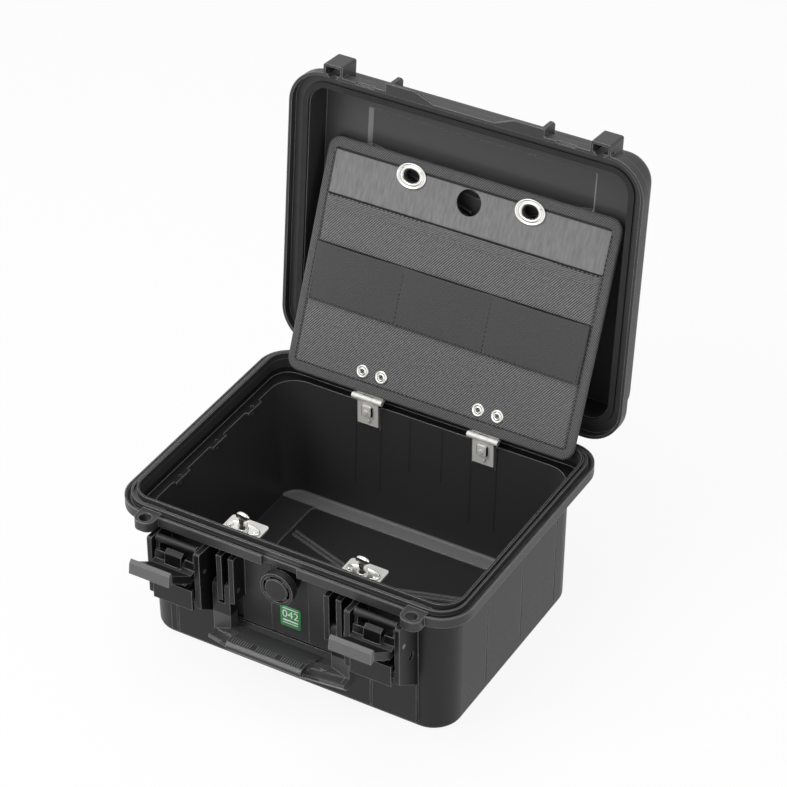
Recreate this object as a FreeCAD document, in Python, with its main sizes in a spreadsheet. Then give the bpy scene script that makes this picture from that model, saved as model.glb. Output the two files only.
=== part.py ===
import FreeCAD, Part
import math
import os
import re
import Sketcher
from FreeCAD import Placement, Rotation, Vector

# Protective hard case, open, with a fold-down tool panel.
# X runs to the right, Y to the back, Z up; the origin is the middle of the underside.
# Lid pieces are drawn shut and then swung open; panel pieces are drawn upright and then leaned back.

doc = FreeCAD.newDocument("protective_case")
sizes = doc.addObject("Spreadsheet::Sheet", "sizes")

values = {
    # Clearances
    "overrun": 6, "seat_gap": 0.3, "running_gap": 0.06,
    # Overall
    "lid_x": 180, "lid_y": 142.8, "rim_height": 148,
    # Base tub and rim
    "flange_in_x": 5, "flange_in_y": 2.8, "flange_corner": 31, "flange_depth": 10.2,
    "lip_width": 5, "lip_drop": 4, "lip_slope_angle": 44,
    "outer_ridge_in": 6, "outer_ridge_wide": 2, "outer_ridge_up": 3, "outer_ridge_corner": 25,
    "groove_drop": 1, "groove_corner": 23,
    "rim_in_x": 11.4, "rim_in_front": 14.5, "rim_in_rear": 12.5, "rim_corner": 20, "rim_wall": 2,
    "rim_up": 5.5,
    "ledge_drop": 17, "ledge_thick": 3,
    "tub_in": 19.3, "tub_draft_angle": 0.774, "tub_corner": 27, "tub_foot_round": 4.5,
    "wall": 3.2, "floor_thick": 4, "inner_draft_angle": 3.1, "inner_corner": 18, "inner_foot_round": 2.5,
    "floor_sink": 1.2, "floor_strip_x": 34.6, "floor_strip_y": 15, "floor_corner": 6,
    "chevron_out": 5, "chevron_end": 59, "chevron_nose": 27, "chevron_pitch": 5.2, "chevron_wide": 2.2,
    "chevron_rise": 1.2,
    "notch_half": 18, "notch_deep": 4.5,
    "ledge_tab_long": 23, "ledge_tab_out": 3.5, "ledge_tab_pitch": 61, "ledge_tab_hole": 1.3,
    "side_groove_wide": 2, "side_groove_deep": 0.9, "side_groove_low": 9, "side_groove_end": 11.8,
    "side_groove_first_share": 0.675, "side_groove_pitch_share": 0.537,
    "front_panel_in": 27.7, "front_panel_low": 7, "front_panel_gap": 2, "front_panel_rise": 3.2,
    "front_groove_wide": 1.8, "front_groove_deep": 1, "front_groove_right_share": 0.642,
    "front_groove_left_share": 0.943, "recess_drop": 96, "recess_out": 2.2,
    "recess_mid": 19, "recess_step": 0.9,
    # Ears, apron and padlock eyes
    "latch_in": 73.5, "bay_gap": 1.4, "ear_inner_thick": 5.5, "ear_outer_thick": 4.7,
    "ear_out": 14, "ear_top_drop": 13, "ear_back_drop": 14.8, "ear_toe_drop": 74, "ear_root_drop": 101,
    "ear_nose": 1.4, "ear_nose_round": 0.5,
    "ear_hole_in": 6, "ear_hole_drop": 56, "ear_hole_radius": 4, "ear_hole_deep": 2.5,
    "apron_gap": 0.3, "apron_out": 17.3, "apron_thick": 3, "apron_low_drop": 76, "apron_high_drop": 54,
    "apron_rib_at": 12, "apron_rib_thick": 3, "apron_rib_inset": 2,
    "eye_in": 40, "eye_half": 10, "eye_out": 13, "eye_reach": 5, "eye_radius": 5.8, "eye_round": 8,
    # Main hinge
    "hinge_out": 7.5, "hinge_drop": 6.4, "knuckle_radius": 6, "lid_open_angle": 95.73,
    "hinge_pin_radius": 2.5,
    "hinge_in": 75, "lid_knuckle_half": 11.7, "base_knuckle_wide": 18, "knuckle_arm_drop": 3,
    # Lid
    "lid_corner": 36, "lid_gap": 0.3, "band_high": 9.7, "lid_skirt": 3,
    "shoulder_rise": 12, "shoulder_slope_angle": -48, "lid_rise": 46, "lid_inset": 10.8,
    "lid_body_corner": 26,
    "lid_top_round": 9, "lid_recess": 7.6, "lid_cavity_in_x": 18, "lid_cavity_in_y": 17.8,
    "lid_cavity_corner": 19,
    "lid_top_wall": 3.5, "ceiling_step": 4, "ceiling_in_x": 45, "ceiling_in_y": 23,
    "ceiling_slope_angle": 35,
    "ceiling_side": 40, "ceiling_nose": 42,
    "boss_rise": 25, "boss_wall": 2.4, "boss_round": 2.2,
    "fin_in": 24.5, "fin_thick": 3.6, "fin_out": 6.7, "fin_rise": 24,
    "hump_out": 7.6, "hump_inner": 70.5, "hump_outer": 21.5, "hump_bend": 51.5, "hump_thick": 3.2,
    "hump_round": 9,
    "slot_half": 9.4, "slot_deep": 1.6, "slot_high": 2.4,
    "seal_in_x": 11.6, "seal_in_y": 11.8, "seal_corner": 25, "seal_wide": 5.6, "seal_thick": 2,
    # Latches, outward from and above their pin
    "latch_out": 6, "latch_drop": 36, "latch_half": 20.8, "latch_pin_radius": 2, "hub_radius": 6.2,
    "paddle_root_out": 11.5, "paddle_root_low": 0.1, "paddle_foot_out": 13.3, "paddle_foot_low": 7.7,
    "paddle_tip_out": 40.5, "paddle_tip_up": 11.6, "toe_out": 46.2, "toe_up": 9.4, "toe_round": 1.2,
    "lip_top_out": 44.2, "lip_top_up": 21.4, "hook_out": 41, "hook_up": 24.4, "hook_back_out": 38.6,
    "hook_back_up": 19.1, "hook_round": 0.7,
    "tab_half": 8.5, "tab_foot_out": 9.4, "tab_foot_low": 6.6, "tab_top_out": 8, "tab_top_up": 12,
    "tab_back_out": 3, "tab_back_up": 14.4, "tab_round": 0.9, "side_plate_out": 4.4, "side_plate_up": 9,
    "bar_in": 0.5, "bar_up": 19.6, "bar_radius": 3.9, "cheek_thick": 3.4,
    # Handle, outward from and below its pin
    "handle_x": 70, "handle_arm_wide": 18, "tine_thick": 5.6, "handle_in": 5, "handle_drop": 54,
    "tine_radius": 5.6,
    "handle_fork": 16, "handle_pin_radius": 2.2, "rib_out": 7, "rib_top_drop": 16, "rib_low": 11.5,
    "rib_thick": 5.2, "rib_one_in": 23.8, "rib_two_in": 11.4,
    "rail_back_in": 4, "rail_high": 49, "rail_lip_out": 15, "rail_nose_out": 16.2, "rail_nose": 51.5,
    "rail_low_out": 10, "rail_low": 59, "rail_end": 34, "rail_step_out": 18.6, "rail_step_up": 14,
    "trough_wide": 8.5, "trough_deep": 1.2, "trough_back_out": 4.5, "trough_start_share": 0.1,
    "trough_end_share": 0.84, "web_high": 44, "web_low": 49, "web_front_out": 15, "web_front_high": 39.5,
    "grip_half": 38.5, "grip_crest_out": 24.3, "grip_crest": 31, "grip_brow_out": 33.3,
    "grip_nose_out": 35.8,
    "grip_nose": 33.2, "grip_chin_out": 35, "grip_chin": 38, "grip_keel_out": 27.5, "grip_keel": 46.5,
    "grip_round": 1.1, "grip_pad_half": 10.2, "grip_pad_pitch": 25.4, "grip_pad_rise": 0.8,
    "grip_pad_edge": 1.2,
    # Valve and label
    "valve_drop": 27.2, "valve_radius": 16.4, "valve_out": 5, "valve_deep": 8, "valve_boss_radius": 13,
    "valve_stem_radius": 6, "valve_nut_radius": 9.5, "valve_nut_thick": 5, "valve_seal_thick": 1.6,
    "valve_cap_radius": 11.2, "valve_cap_rise": 1.2, "valve_slot_radius": 13.6, "valve_slot_deep": 3,
    "label_half": 10.6, "label_low_drop": 86, "label_high_drop": 63, "label_thick": 0.6,
    # Tool panel, heights up its face
    "axis_in": 5.7, "axis_drop": 9, "panel_behind": 2, "panel_above": 4, "panel_lean_angle": 22.8,
    "panel_in": 12.1, "panel_short": 12.5, "panel_corner": 12,
    "board_inset": 3.5, "board_thick": 2.6, "binding_wide": 9.6, "binding_lap": 1.2, "window_corner": 4,
    "cloth_thick": 1, "pocket_short": 53, "band_short": 12, "band_high_v": 40.7, "strip_low": 72,
    "strip_high": 128,
    "strip_thick": 1.4, "panel_gap": 0.2, "sheet_corner": 1,
    "eyelet_x": 61.3, "eyelet_short": 16.5, "eyelet_half_x": 15.5, "eyelet_half_v": 12, "eyelet_hole_x": 8,
    "eyelet_hole_v": 6, "eyelet_tube": 1.6, "eyelet_flange": 1.4, "eyelet_back_wide": 4.8,
    "eyelet_back_thick": 0.7,
    "finger_short": 25, "finger_radius": 12.5,
    "rivet_v": 20, "rivet_pitch": 20, "rivet_radius": 6.6, "rivet_thick": 1.5, "rivet_hole": 1.8,
    "rivet_shank": 2.6,
    "barrel_radius": 2.7, "barrel_half": 16, "barrel_mid": 5.4, "panel_pin_radius": 1.2,
    "leaf_thick": 1.4, "leaf_half": 14, "leaf_high": 27, "base_leaf_half": 11, "base_leaf_low": 30,
    "base_leaf_high": 3.4, "leaf_pad_drop": 34, "leaf_screw_drop": 23, "leaf_screw_radius": 3.2,
    "screw_head": 1.6,
    "bridge_half": 4.5, "bridge_rise": 1.6, "bridge_drop": 12,
    # Front brackets and turn buttons
    "bracket_half": 19, "bracket_deep": 14, "bracket_drop": 5.4, "bracket_thick": 2, "bracket_leg": 19.6,
    "bracket_in": 2.5, "bracket_round": 3, "stud_reach": 4.5, "stud_plate_half": 17, "stud_plate_deep": 6.5,
    "stud_plate_thick": 1.4, "stud_neck": 2.9, "stud_head_lift": 11.2, "stud_head_half": 7,
    "stud_head_thick": 4,
    "stud_head_high": 7, "stud_head_round": 5.6,
    "bracket_screw_x": 11, "bracket_screw_drop": 10.6, "bracket_screw_radius": 3,
    "stud_rivet_x": 12.6, "stud_rivet_radius": 2.4, "stud_rivet_rise": 1.1,
}
for row, (name, value) in enumerate(values.items(), 1):
    sizes.set(f"A{row}", name)
    sizes.set(f"B{row}", str(value))
    sizes.setAlias(f"B{row}", name)
doc.recompute()

# Places that follow from the sizes: Y is counted outward from the middle on both sides, Z from the underside.
spots = {
    "flange_x": "lid_x - flange_in_x", "flange_y": "lid_y - flange_in_y",
    "rim_x": "flange_x - rim_in_x", "rim_front": "flange_y - rim_in_front",
    "rim_rear": "flange_y - rim_in_rear",
    "tub_x": "flange_x - tub_in", "tub_y": "flange_y - tub_in",
    "tub_lean": "(rim_height - flange_depth) * tan(tub_draft_angle)",
    "ledge_height": "rim_height - ledge_drop",
    "inner_lean": "(ledge_height - floor_thick) * tan(inner_draft_angle)",
    "inner_x": "tub_x + tub_lean - wall", "inner_y": "tub_y + tub_lean - wall",
    "floor_x": "inner_x - inner_lean - floor_strip_x", "floor_y": "inner_y - inner_lean - floor_strip_y",
    "recess_low": "rim_height - recess_drop", "recess_face": "tub_y + recess_out",
    "front_panel_x": "tub_x - front_panel_in", "front_panel_high": "recess_low - front_panel_gap",
    "front_panel_out": "tub_y + front_panel_rise",
    "front_groove_right": "front_panel_x * front_groove_right_share",
    "front_groove_left": "front_panel_x * front_groove_left_share",
    "side_groove_high": "rim_height - flange_depth - side_groove_end",
    "side_groove_first": "tub_y * side_groove_first_share",
    "side_groove_pitch": "tub_y * side_groove_pitch_share",
    "latch_x": "flange_x - latch_in", "latch_y": "flange_y + latch_out",
    "latch_z": "rim_height - latch_drop",
    "bay_half": "latch_half + bay_gap", "apron_half": "latch_half - apron_gap",
    "ear_front": "flange_y + ear_out", "ear_top": "rim_height - ear_top_drop",
    "ear_back_top": "rim_height - ear_back_drop", "ear_toe": "rim_height - ear_toe_drop",
    "ear_root": "rim_height - ear_root_drop", "ear_hole_y": "flange_y - ear_hole_in",
    "ear_hole_z": "rim_height - ear_hole_drop", "apron_front": "flange_y + apron_out",
    "apron_low": "rim_height - apron_low_drop", "apron_high": "rim_height - apron_high_drop",
    "eye_x": "flange_x - eye_in", "eye_front": "flange_y + eye_out", "eye_y": "flange_y + eye_reach",
    "hinge_x": "flange_x - hinge_in", "hinge_y": "flange_y + hinge_out",
    "hinge_z": "rim_height - hinge_drop",
    "knuckle_arm_high": "rim_height - knuckle_arm_drop",
    "lid_foot": "rim_height + lid_gap", "lid_high": "rim_height + lid_rise",
    "lid_ceiling": "lid_high - lid_top_wall - ceiling_step", "lid_seat": "lid_foot + lid_recess",
    "lid_cavity_x": "lid_x - lid_cavity_in_x", "lid_cavity_y": "lid_y - lid_cavity_in_y",
    "ceiling_x": "lid_cavity_x - ceiling_in_x", "ceiling_y": "lid_cavity_y - ceiling_in_y",
    "boss_high": "rim_height + boss_rise", "fin_high": "rim_height + fin_rise", "fin_x": "latch_x - fin_in",
    "fin_front": "lid_y + fin_out", "hump_front": "lid_y + hump_out",
    "seal_x": "lid_x - seal_in_x", "seal_y": "lid_y - seal_in_y",
    "bar_y": "latch_y - bar_in", "bar_z": "latch_z + bar_up",
    "handle_y": "flange_y - handle_in", "handle_z": "rim_height - handle_drop",
    "rib_front": "handle_y + rib_out",
    "rib_top": "rim_height - rib_top_drop", "rib_foot": "handle_z - rib_low",
    "rib_one": "handle_x - rib_one_in", "rib_two": "handle_x - rib_two_in",
    "valve_z": "rim_height - valve_drop", "valve_front": "flange_y + valve_out",
    "wall_face": "tub_y - wall",
    "label_low": "rim_height - label_low_drop", "label_high": "rim_height - label_high_drop",
    "axis_y": "tub_y - axis_in", "axis_z": "rim_height - axis_drop",
    "panel_y": "axis_y + panel_behind", "panel_z": "axis_z + panel_above",
    "axis_local_y": "panel_y - panel_behind * cos(panel_lean_angle) + panel_above * sin(panel_lean_angle)",
    "axis_local_z": "panel_z - panel_behind * sin(panel_lean_angle) - panel_above * cos(panel_lean_angle)",
    "panel_half": "rim_x - panel_in", "panel_long": "axis_y + rim_front - panel_short",
    "pocket_high": "panel_long - pocket_short", "band_top": "panel_long - band_short",
    "band_low": "band_top - band_high_v", "eyelet_v": "panel_long - eyelet_short",
    "finger_v": "panel_long - finger_short",
    "leaf_seat": "axis_y + barrel_radius - leaf_thick / 2",
    "stud_y": "eyelet_v + stud_reach - axis_y", "bracket_top": "axis_z - bracket_drop",
    "bracket_seat": "tub_y - bracket_in",
}
places = doc.addObject("Spreadsheet::Sheet", "places")


# Names in a formula get their sheet in front of them; the sheet of places uses its own names bare.
def bound(text, inside=False):
    def link(word):
        name = word.group()
        if name in values:
            return f"sizes.{name}"
        return f"places.{name}" if name in spots and not inside else name
    return re.sub(r"[a-z][a-z_0-9]*", link, str(text))


for row, (name, formula) in enumerate(spots.items(), 1):
    places.set(f"A{row}", name)
    places.set(f"B{row}", f"={bound(formula, True)}")
    places.setAlias(f"B{row}", name)
doc.recompute()


def size(name):
    return float(sizes.get(name) if name in values else places.get(name))


turns = {"x": Rotation(Vector(0, 1, 0), 90), "y": Rotation(Vector(1, 0, 0), -90), "z": Rotation()}
pieces = []


# A span on one side of the middle plane, low end first.
def sided(side, inner, outer):
    if side > 0:
        return (inner, outer)
    return (f"-({outer})", f"-({inner})")


def block(name, across, along, up):
    box = doc.addObject("Part::Box", name)
    for (low, high), edge, axis in zip((across, along, up), ("Length", "Width", "Height"), "xyz"):
        box.setExpression(edge, bound(f"({high}) - ({low})"))
        box.setExpression(f"Placement.Base.{axis}", bound(low))
    return box


def rod(name, axis, radius, span, centre):
    low, high = span
    cylinder = doc.addObject("Part::Cylinder", name)
    cylinder.Placement = Placement(Vector(), turns[axis])
    cylinder.setExpression("Radius", bound(radius))
    cylinder.setExpression("Height", bound(f"({high}) - ({low})"))
    places = list(centre)
    places.insert("xyz".index(axis), low)
    for letter, text in zip("xyz", places):
        cylinder.setExpression(f"Placement.Base.{letter}", bound(text))
    return cylinder


def same(first, second):
    return first.sub(second).Length < 1e-4 * size("flange_x")


# A body with an empty outline on one of its own planes, at a height above it.
def outlined(name, plane, start):
    body = doc.addObject("PartDesign::Body", name)
    sketch = body.newObject("Sketcher::SketchObject", f"{name}_outline")
    support = [origin for origin in body.Origin.OriginFeatures if origin.Role == plane][0]
    sketch.AttachmentSupport = (support, [""])
    sketch.MapMode = "FlatFace"
    sketch.setExpression("AttachmentOffset.Base.z", bound(start))
    return body, sketch


def padded(body, sketch, length, slope):
    pad = body.newObject("PartDesign::Pad", f"{body.Name}_pad")
    pad.Profile = sketch
    pad.setExpression("Length", bound(length))
    if slope:
        pad.setExpression("TaperAngle", bound(slope))
    doc.recompute()


# Lines from corner to corner, each corner held at its place.
def drawn(sketch, corners):
    count = len(corners)
    ring = [Vector(size("tub_x"), 0, 0)]
    for index in range(count - 1):
        ring.append(Rotation(Vector(0, 0, 1), 360 / count).multVec(ring[-1]))
    for index in range(count):
        sketch.addGeometry(Part.LineSegment(ring[index], ring[(index + 1) % count]), False)
    for index in range(count):
        sketch.addConstraint(Sketcher.Constraint("Coincident", index, 2, (index + 1) % count, 1))
    for index, corner in enumerate(corners):
        for kind, text, start_value in zip(("DistanceX", "DistanceY"), corner, ring[index]):
            number = sketch.addConstraint(Sketcher.Constraint(kind, index, 1, start_value))
            sketch.setExpression(f"Constraints[{number}]", bound(text))


# A padded outline: corners in the plane's own two directions, a span along its normal,
# and rounds as a radius for chosen corners.
def plate(name, plane, corners, span, rounds=None, slope=None):
    low, high = span
    start = f"-({high})" if plane == "XZ_Plane" else low
    body, sketch = outlined(name, plane, start)
    drawn(sketch, corners)
    padded(body, sketch, f"({high}) - ({low})", slope)
    for radius in sorted(set((rounds or {}).values())):
        chosen = [index for index, value in rounds.items() if value == radius]
        feet = [sketch.Placement.multVec(sketch.getPoint(index, 1)) for index in chosen]
        normal = sketch.Placement.Rotation.multVec(Vector(0, 0, 1))
        base = body.Tip
        edges = []
        for number, edge in enumerate(base.Shape.Edges, 1):
            ends = [vertex.Point for vertex in edge.Vertexes]
            if len(ends) < 2 or abs(normal.dot(ends[1].sub(ends[0]))) < 1e-6:
                continue
            if any(same(end, foot) for end in ends for foot in feet):
                edges.append(f"Edge{number}")
        fillet = body.newObject("PartDesign::Fillet", f"{name}_{radius}")
        fillet.Base = (base, edges)
        fillet.setExpression("Radius", bound(radius))
        doc.recompute()
    return body


# A rounded rectangle seen from above: an arc at each corner, joined by tangent lines.
def slab(name, half_x, front, rear, corner, low, high, slope=None):
    body, sketch = outlined(name, "XY_Plane", low)
    reach = size("tub_corner")
    quarter = math.pi / 2
    centres = [(1, 1), (-1, 1), (-1, -1), (1, -1)]
    for turn, (right, back) in enumerate(centres):
        circle = Part.Circle(Vector(2 * right * reach, 2 * back * reach, 0), Vector(0, 0, 1), reach)
        sketch.addGeometry(Part.ArcOfCircle(circle, turn * quarter, (turn + 1) * quarter), False)
    for turn in range(4):
        begin = sketch.getPoint(turn, 2)
        finish = sketch.getPoint((turn + 1) % 4, 1)
        sketch.addGeometry(Part.LineSegment(begin, finish), False)
    for turn, (right, back) in enumerate(centres):
        sketch.addConstraint(Sketcher.Constraint("Tangent", turn, 2, turn + 4, 1))
        sketch.addConstraint(Sketcher.Constraint("Tangent", turn + 4, 2, (turn + 1) % 4, 1))
        depth = rear if back > 0 else front
        for kind, text, begin in (("DistanceX", f"{right} * (({half_x}) - ({corner}))", 2 * right * reach),
                                  ("DistanceY", f"{back} * (({depth}) - ({corner}))", 2 * back * reach)):
            number = sketch.addConstraint(Sketcher.Constraint(kind, turn, 3, begin))
            sketch.setExpression(f"Constraints[{number}]", bound(text))
        number = sketch.addConstraint(Sketcher.Constraint("Radius", turn, reach))
        sketch.setExpression(f"Constraints[{number}]", bound(corner))
    padded(body, sketch, f"({high}) - ({low})", slope)
    return body


# Rounds the edges that lie at one height of a body.
def soften(body, height, radius):
    base = body.Tip
    edges = []
    for number, edge in enumerate(base.Shape.Edges, 1):
        box = edge.BoundBox
        if abs(box.ZMin - height) + abs(box.ZMax - height) < 1e-4 * size("flange_x"):
            edges.append(f"Edge{number}")
    fillet = body.newObject("PartDesign::Fillet", f"{body.Name}_soft")
    fillet.Base = (base, edges)
    fillet.setExpression("Radius", bound(radius))
    doc.recompute()


def fuse(name, shapes):
    result = doc.addObject("Part::MultiFuse", name)
    result.Shapes = shapes
    result.Refine = True
    return result


def cut(name, base, tools):
    result = doc.addObject("Part::Cut", name)
    result.Base = base
    result.Tool = tools[0] if len(tools) == 1 else fuse(f"{name}_tools", tools)
    result.Refine = True
    return result


def group(name, shapes):
    result = doc.addObject("Part::Compound", name)
    result.Links = shapes
    return result


def piece(label, thing, place=None):
    if place:
        thing.Placement = place
    thing.Label = label
    pieces.append((label, thing))


swing_open = Placement(Vector(), Rotation(Vector(1, 0, 0), -size("lid_open_angle")),
                       Vector(0, size("hinge_y"), size("hinge_z")))
lean_back = Placement(Vector(), Rotation(Vector(1, 0, 0), -size("panel_lean_angle")),
                      Vector(0, size("panel_y"), size("panel_z")))
sides = {"left": -1, "right": 1}


def base_shell():
    pan = slab("flange", "flange_x", "flange_y", "flange_y", "flange_corner",
               "rim_height - flange_depth", "rim_height")
    slope = slab("lip_slope_cut", "flange_x - lip_width", "flange_y - lip_width", "flange_y - lip_width",
                 "flange_corner - lip_width", "rim_height - lip_drop", "rim_height + seat_gap",
                 "lip_slope_angle")
    outer = slab("outer_ridge", "flange_x - outer_ridge_in", "flange_y - outer_ridge_in",
                 "flange_y - outer_ridge_in", "outer_ridge_corner", "rim_height - flange_depth",
                 "rim_height + outer_ridge_up")
    groove = slab("ridge_groove", "flange_x - outer_ridge_in - outer_ridge_wide",
                  "flange_y - outer_ridge_in - outer_ridge_wide",
                  "flange_y - outer_ridge_in - outer_ridge_wide",
                  "groove_corner", "rim_height - groove_drop", "rim_height + outer_ridge_up + overrun")
    inner = slab("inner_ridge", "rim_x + rim_wall", "rim_front + rim_wall", "rim_rear + rim_wall",
                 "rim_corner + rim_wall", "ledge_height - ledge_thick", "rim_height + rim_up")
    tub = slab("tub", "tub_x", "tub_y", "tub_y", "tub_corner", "0",
               "rim_height - flange_depth + ledge_thick",
               "tub_draft_angle")
    soften(tub, 0, "tub_foot_round")
    rim = cut("rim_pan", pan, [slope])
    rim = fuse("rim_with_ridge", [rim, outer])
    rim = cut("rim_grooved", rim, [groove])
    solids = [rim, inner, tub]
    solids.append(block("front_panel", ("-front_panel_x", "front_panel_x"),
                        ("-front_panel_out", "-wall_face"),
                        ("front_panel_low", "front_panel_high")))
    solids.append(block("recess_face", ("-rib_one", "rib_one"), ("-recess_face", "-wall_face"),
                        ("recess_low", "ledge_height")))
    solids.append(rod("valve_boss", "y", "valve_boss_radius",
                      ("-valve_front + valve_deep + valve_seal_thick", "-wall_face"), ("0", "valve_z")))
    ear = [("-wall_face", "ear_root"), ("-ear_front", "ear_toe"), ("-ear_front", "ear_top - ear_nose"),
           ("-ear_front + ear_nose", "ear_top"), ("-wall_face", "ear_back_top")]
    rib = [("-wall_face", "rib_foot"), ("-rib_front", "rib_foot"), ("-rib_front", "rib_top"),
           ("-wall_face", "rib_top")]
    nose = {2: "ear_nose_round", 3: "ear_nose_round"}
    holes = []
    for side_name, side in sides.items():
        inner_ear = sided(side, "latch_x - bay_half - ear_inner_thick", "latch_x - bay_half")
        outer_ear = sided(side, "latch_x + bay_half", "latch_x + bay_half + ear_outer_thick")
        solids.append(plate(f"inner_ear_{side_name}", "YZ_Plane", ear, inner_ear, nose))
        solids.append(plate(f"outer_ear_{side_name}", "YZ_Plane", ear, outer_ear, nose))
        solids.append(block(f"apron_{side_name}",
                            sided(side, "latch_x - apron_half", "latch_x + apron_half"),
                            ("-apron_front", "-apron_front + apron_thick"), ("apron_low", "apron_high")))
        for rib_name, offset in (("near", "-apron_rib_at"), ("far", "apron_rib_at")):
            middle = f"latch_x + ({offset})"
            solids.append(block(f"apron_rib_{rib_name}_{side_name}",
                                sided(side, f"{middle} - apron_rib_thick / 2",
                                      f"{middle} + apron_rib_thick / 2"),
                                ("-apron_front + apron_thick", "-wall_face"),
                                ("apron_low + apron_rib_inset", "apron_high - apron_rib_inset")))
        solids.append(block(f"recess_side_{side_name}", sided(side, "recess_mid", "rib_one + rib_thick / 2"),
                            ("-recess_face - recess_step", "-wall_face"), ("recess_low", "ledge_height")))
        for rib_name in ("rib_one", "rib_two"):
            solids.append(plate(f"handle_{rib_name}_{side_name}", "YZ_Plane", rib,
                                sided(side, rib_name, f"{rib_name} + rib_thick"), {2: "ear_nose_round"}))
        low, high = sided(side, "eye_x - eye_half", "eye_x + eye_half")
        eye = [(low, "-eye_front"), (high, "-eye_front"), (high, "-rim_front"), (low, "-rim_front")]
        solids.append(plate(f"padlock_eye_{side_name}", "XY_Plane", eye,
                            ("rim_height - flange_depth", "rim_height"),
                            {0: "eye_round", 1: "eye_round"}))
        for knuckle, (start, end) in {
                "near": ("hinge_x - lid_knuckle_half - seat_gap - base_knuckle_wide",
                         "hinge_x - lid_knuckle_half - seat_gap"),
                "far": ("hinge_x + lid_knuckle_half + seat_gap",
                        "hinge_x + lid_knuckle_half + seat_gap + base_knuckle_wide")}.items():
            span = sided(side, start, end)
            solids.append(rod(f"base_knuckle_{knuckle}_{side_name}", "x", "knuckle_radius", span,
                              ("hinge_y", "hinge_z")))
            solids.append(block(f"base_knuckle_arm_{knuckle}_{side_name}", span, ("rim_rear", "hinge_y"),
                                ("hinge_z - knuckle_radius", "knuckle_arm_high")))
        holes.append(rod(f"eye_hole_{side_name}", "z", "eye_radius",
                         ("rim_height - flange_depth - overrun", "rim_height + overrun"),
                         (f"{side} * eye_x", "-eye_y")))
        holes.append(rod(f"latch_pin_hole_{side_name}", "x", "latch_pin_radius + running_gap",
                         sided(side, "latch_x - bay_half - ear_inner_thick - overrun",
                               "latch_x + bay_half + ear_outer_thick + overrun"), ("-latch_y", "latch_z")))
        holes.append(rod(f"ear_blind_hole_{side_name}", "x", "ear_hole_radius",
                         sided(side, "latch_x + bay_half + ear_outer_thick - ear_hole_deep",
                               "latch_x + bay_half + ear_outer_thick + overrun"),
                         ("-ear_hole_y", "ear_hole_z")))
        holes.append(rod(f"handle_pin_hole_{side_name}", "x", "handle_pin_radius + running_gap",
                         sided(side, "rib_one - overrun", "rib_two + rib_thick + overrun"),
                         ("-handle_y", "handle_z")))
        holes.append(rod(f"hinge_pin_hole_{side_name}", "x", "hinge_pin_radius + running_gap",
                         sided(side, "hinge_x - lid_knuckle_half - base_knuckle_wide - overrun",
                               "hinge_x + lid_knuckle_half + base_knuckle_wide + overrun"),
                         ("hinge_y", "hinge_z")))
        groove_side = [("tub_x - side_groove_deep", "side_groove_low"),
                       ("tub_x + overrun", "side_groove_low"),
                       ("tub_x + tub_lean + overrun", "side_groove_high"),
                       ("tub_x + tub_lean - side_groove_deep", "side_groove_high")]
        if side < 0:
            groove_side = [(f"-({across})", up) for across, up in reversed(groove_side)]
        for number in range(4):
            middle = f"side_groove_first - {number} * side_groove_pitch"
            holes.append(plate(f"side_groove_{side_name}_{number}", "XZ_Plane", groove_side,
                               (f"{middle} - side_groove_wide / 2", f"{middle} + side_groove_wide / 2")))
    for name, middle in (("right", "front_groove_right"), ("left", "-front_groove_left")):
        holes.append(block(f"front_groove_{name}",
                           (f"{middle} - front_groove_wide / 2", f"{middle} + front_groove_wide / 2"),
                           ("-front_panel_out - overrun", "-front_panel_out + front_groove_deep"),
                           ("front_panel_low - overrun", "front_panel_high + overrun")))
    holes.append(block("flange_notch", ("-notch_half", "notch_half"),
                       ("-flange_y - overrun", "-flange_y + notch_deep"),
                       ("rim_height - flange_depth - overrun", "rim_height + overrun")))
    holes.append(slab("rim_inside", "rim_x", "rim_front", "rim_rear", "rim_corner", "ledge_height",
                      "rim_height + rim_up + overrun"))
    inside = slab("tub_inside", "inner_x - inner_lean", "inner_y - inner_lean", "inner_y - inner_lean",
                  "inner_corner",
                  "floor_thick", "ledge_height + overrun", "inner_draft_angle")
    soften(inside, size("floor_thick"), "inner_foot_round")
    holes.append(inside)
    holes.append(slab("floor_panel", "floor_x", "floor_y", "floor_y", "floor_corner",
                      "floor_thick - floor_sink",
                      "floor_thick + overrun"))
    shell = cut("shell_hollow", fuse("shell_solid", solids), holes)
    additions = [shell] + chevrons("floor", "floor_x - chevron_out",
                                   "floor_thick - floor_sink - floor_sink / 2",
                                   "floor_thick - floor_sink + chevron_rise")
    additions.append(rod("nut_pad", "y", "valve_nut_radius + rim_wall", ("-recess_face", "-wall_face"),
                         ("0", "valve_z")))
    late_holes = [rod("valve_hole", "y", "valve_stem_radius + running_gap",
                      ("-valve_front", "-wall_face + overrun"),
                      ("0", "valve_z"))]
    for side_name, side in sides.items():
        for number in (-1, 0, 1):
            middle = f"{number} * ledge_tab_pitch"
            additions.append(block(f"ledge_tab_{side_name}_{number + 1}",
                                   sided(side, "inner_x - ledge_tab_out", "inner_x + wall / 2"),
                                   (f"{middle} - ledge_tab_long / 2", f"{middle} + ledge_tab_long / 2"),
                                   ("ledge_height - ledge_thick", "ledge_height")))
            late_holes.append(rod(f"ledge_tab_hole_{side_name}_{number + 1}", "z", "ledge_tab_hole",
                                  ("ledge_height - ledge_thick - overrun", "ledge_height + overrun"),
                                  (f"{side} * inner_x", middle)))
        additions.append(block(f"leaf_pad_{side_name}",
                               (f"{side} * eyelet_x - base_leaf_half - leaf_thick",
                                f"{side} * eyelet_x + base_leaf_half + leaf_thick"),
                               ("leaf_seat", "tub_y + tub_lean / 2"),
                               ("axis_z - leaf_pad_drop", "ledge_height")))
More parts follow.
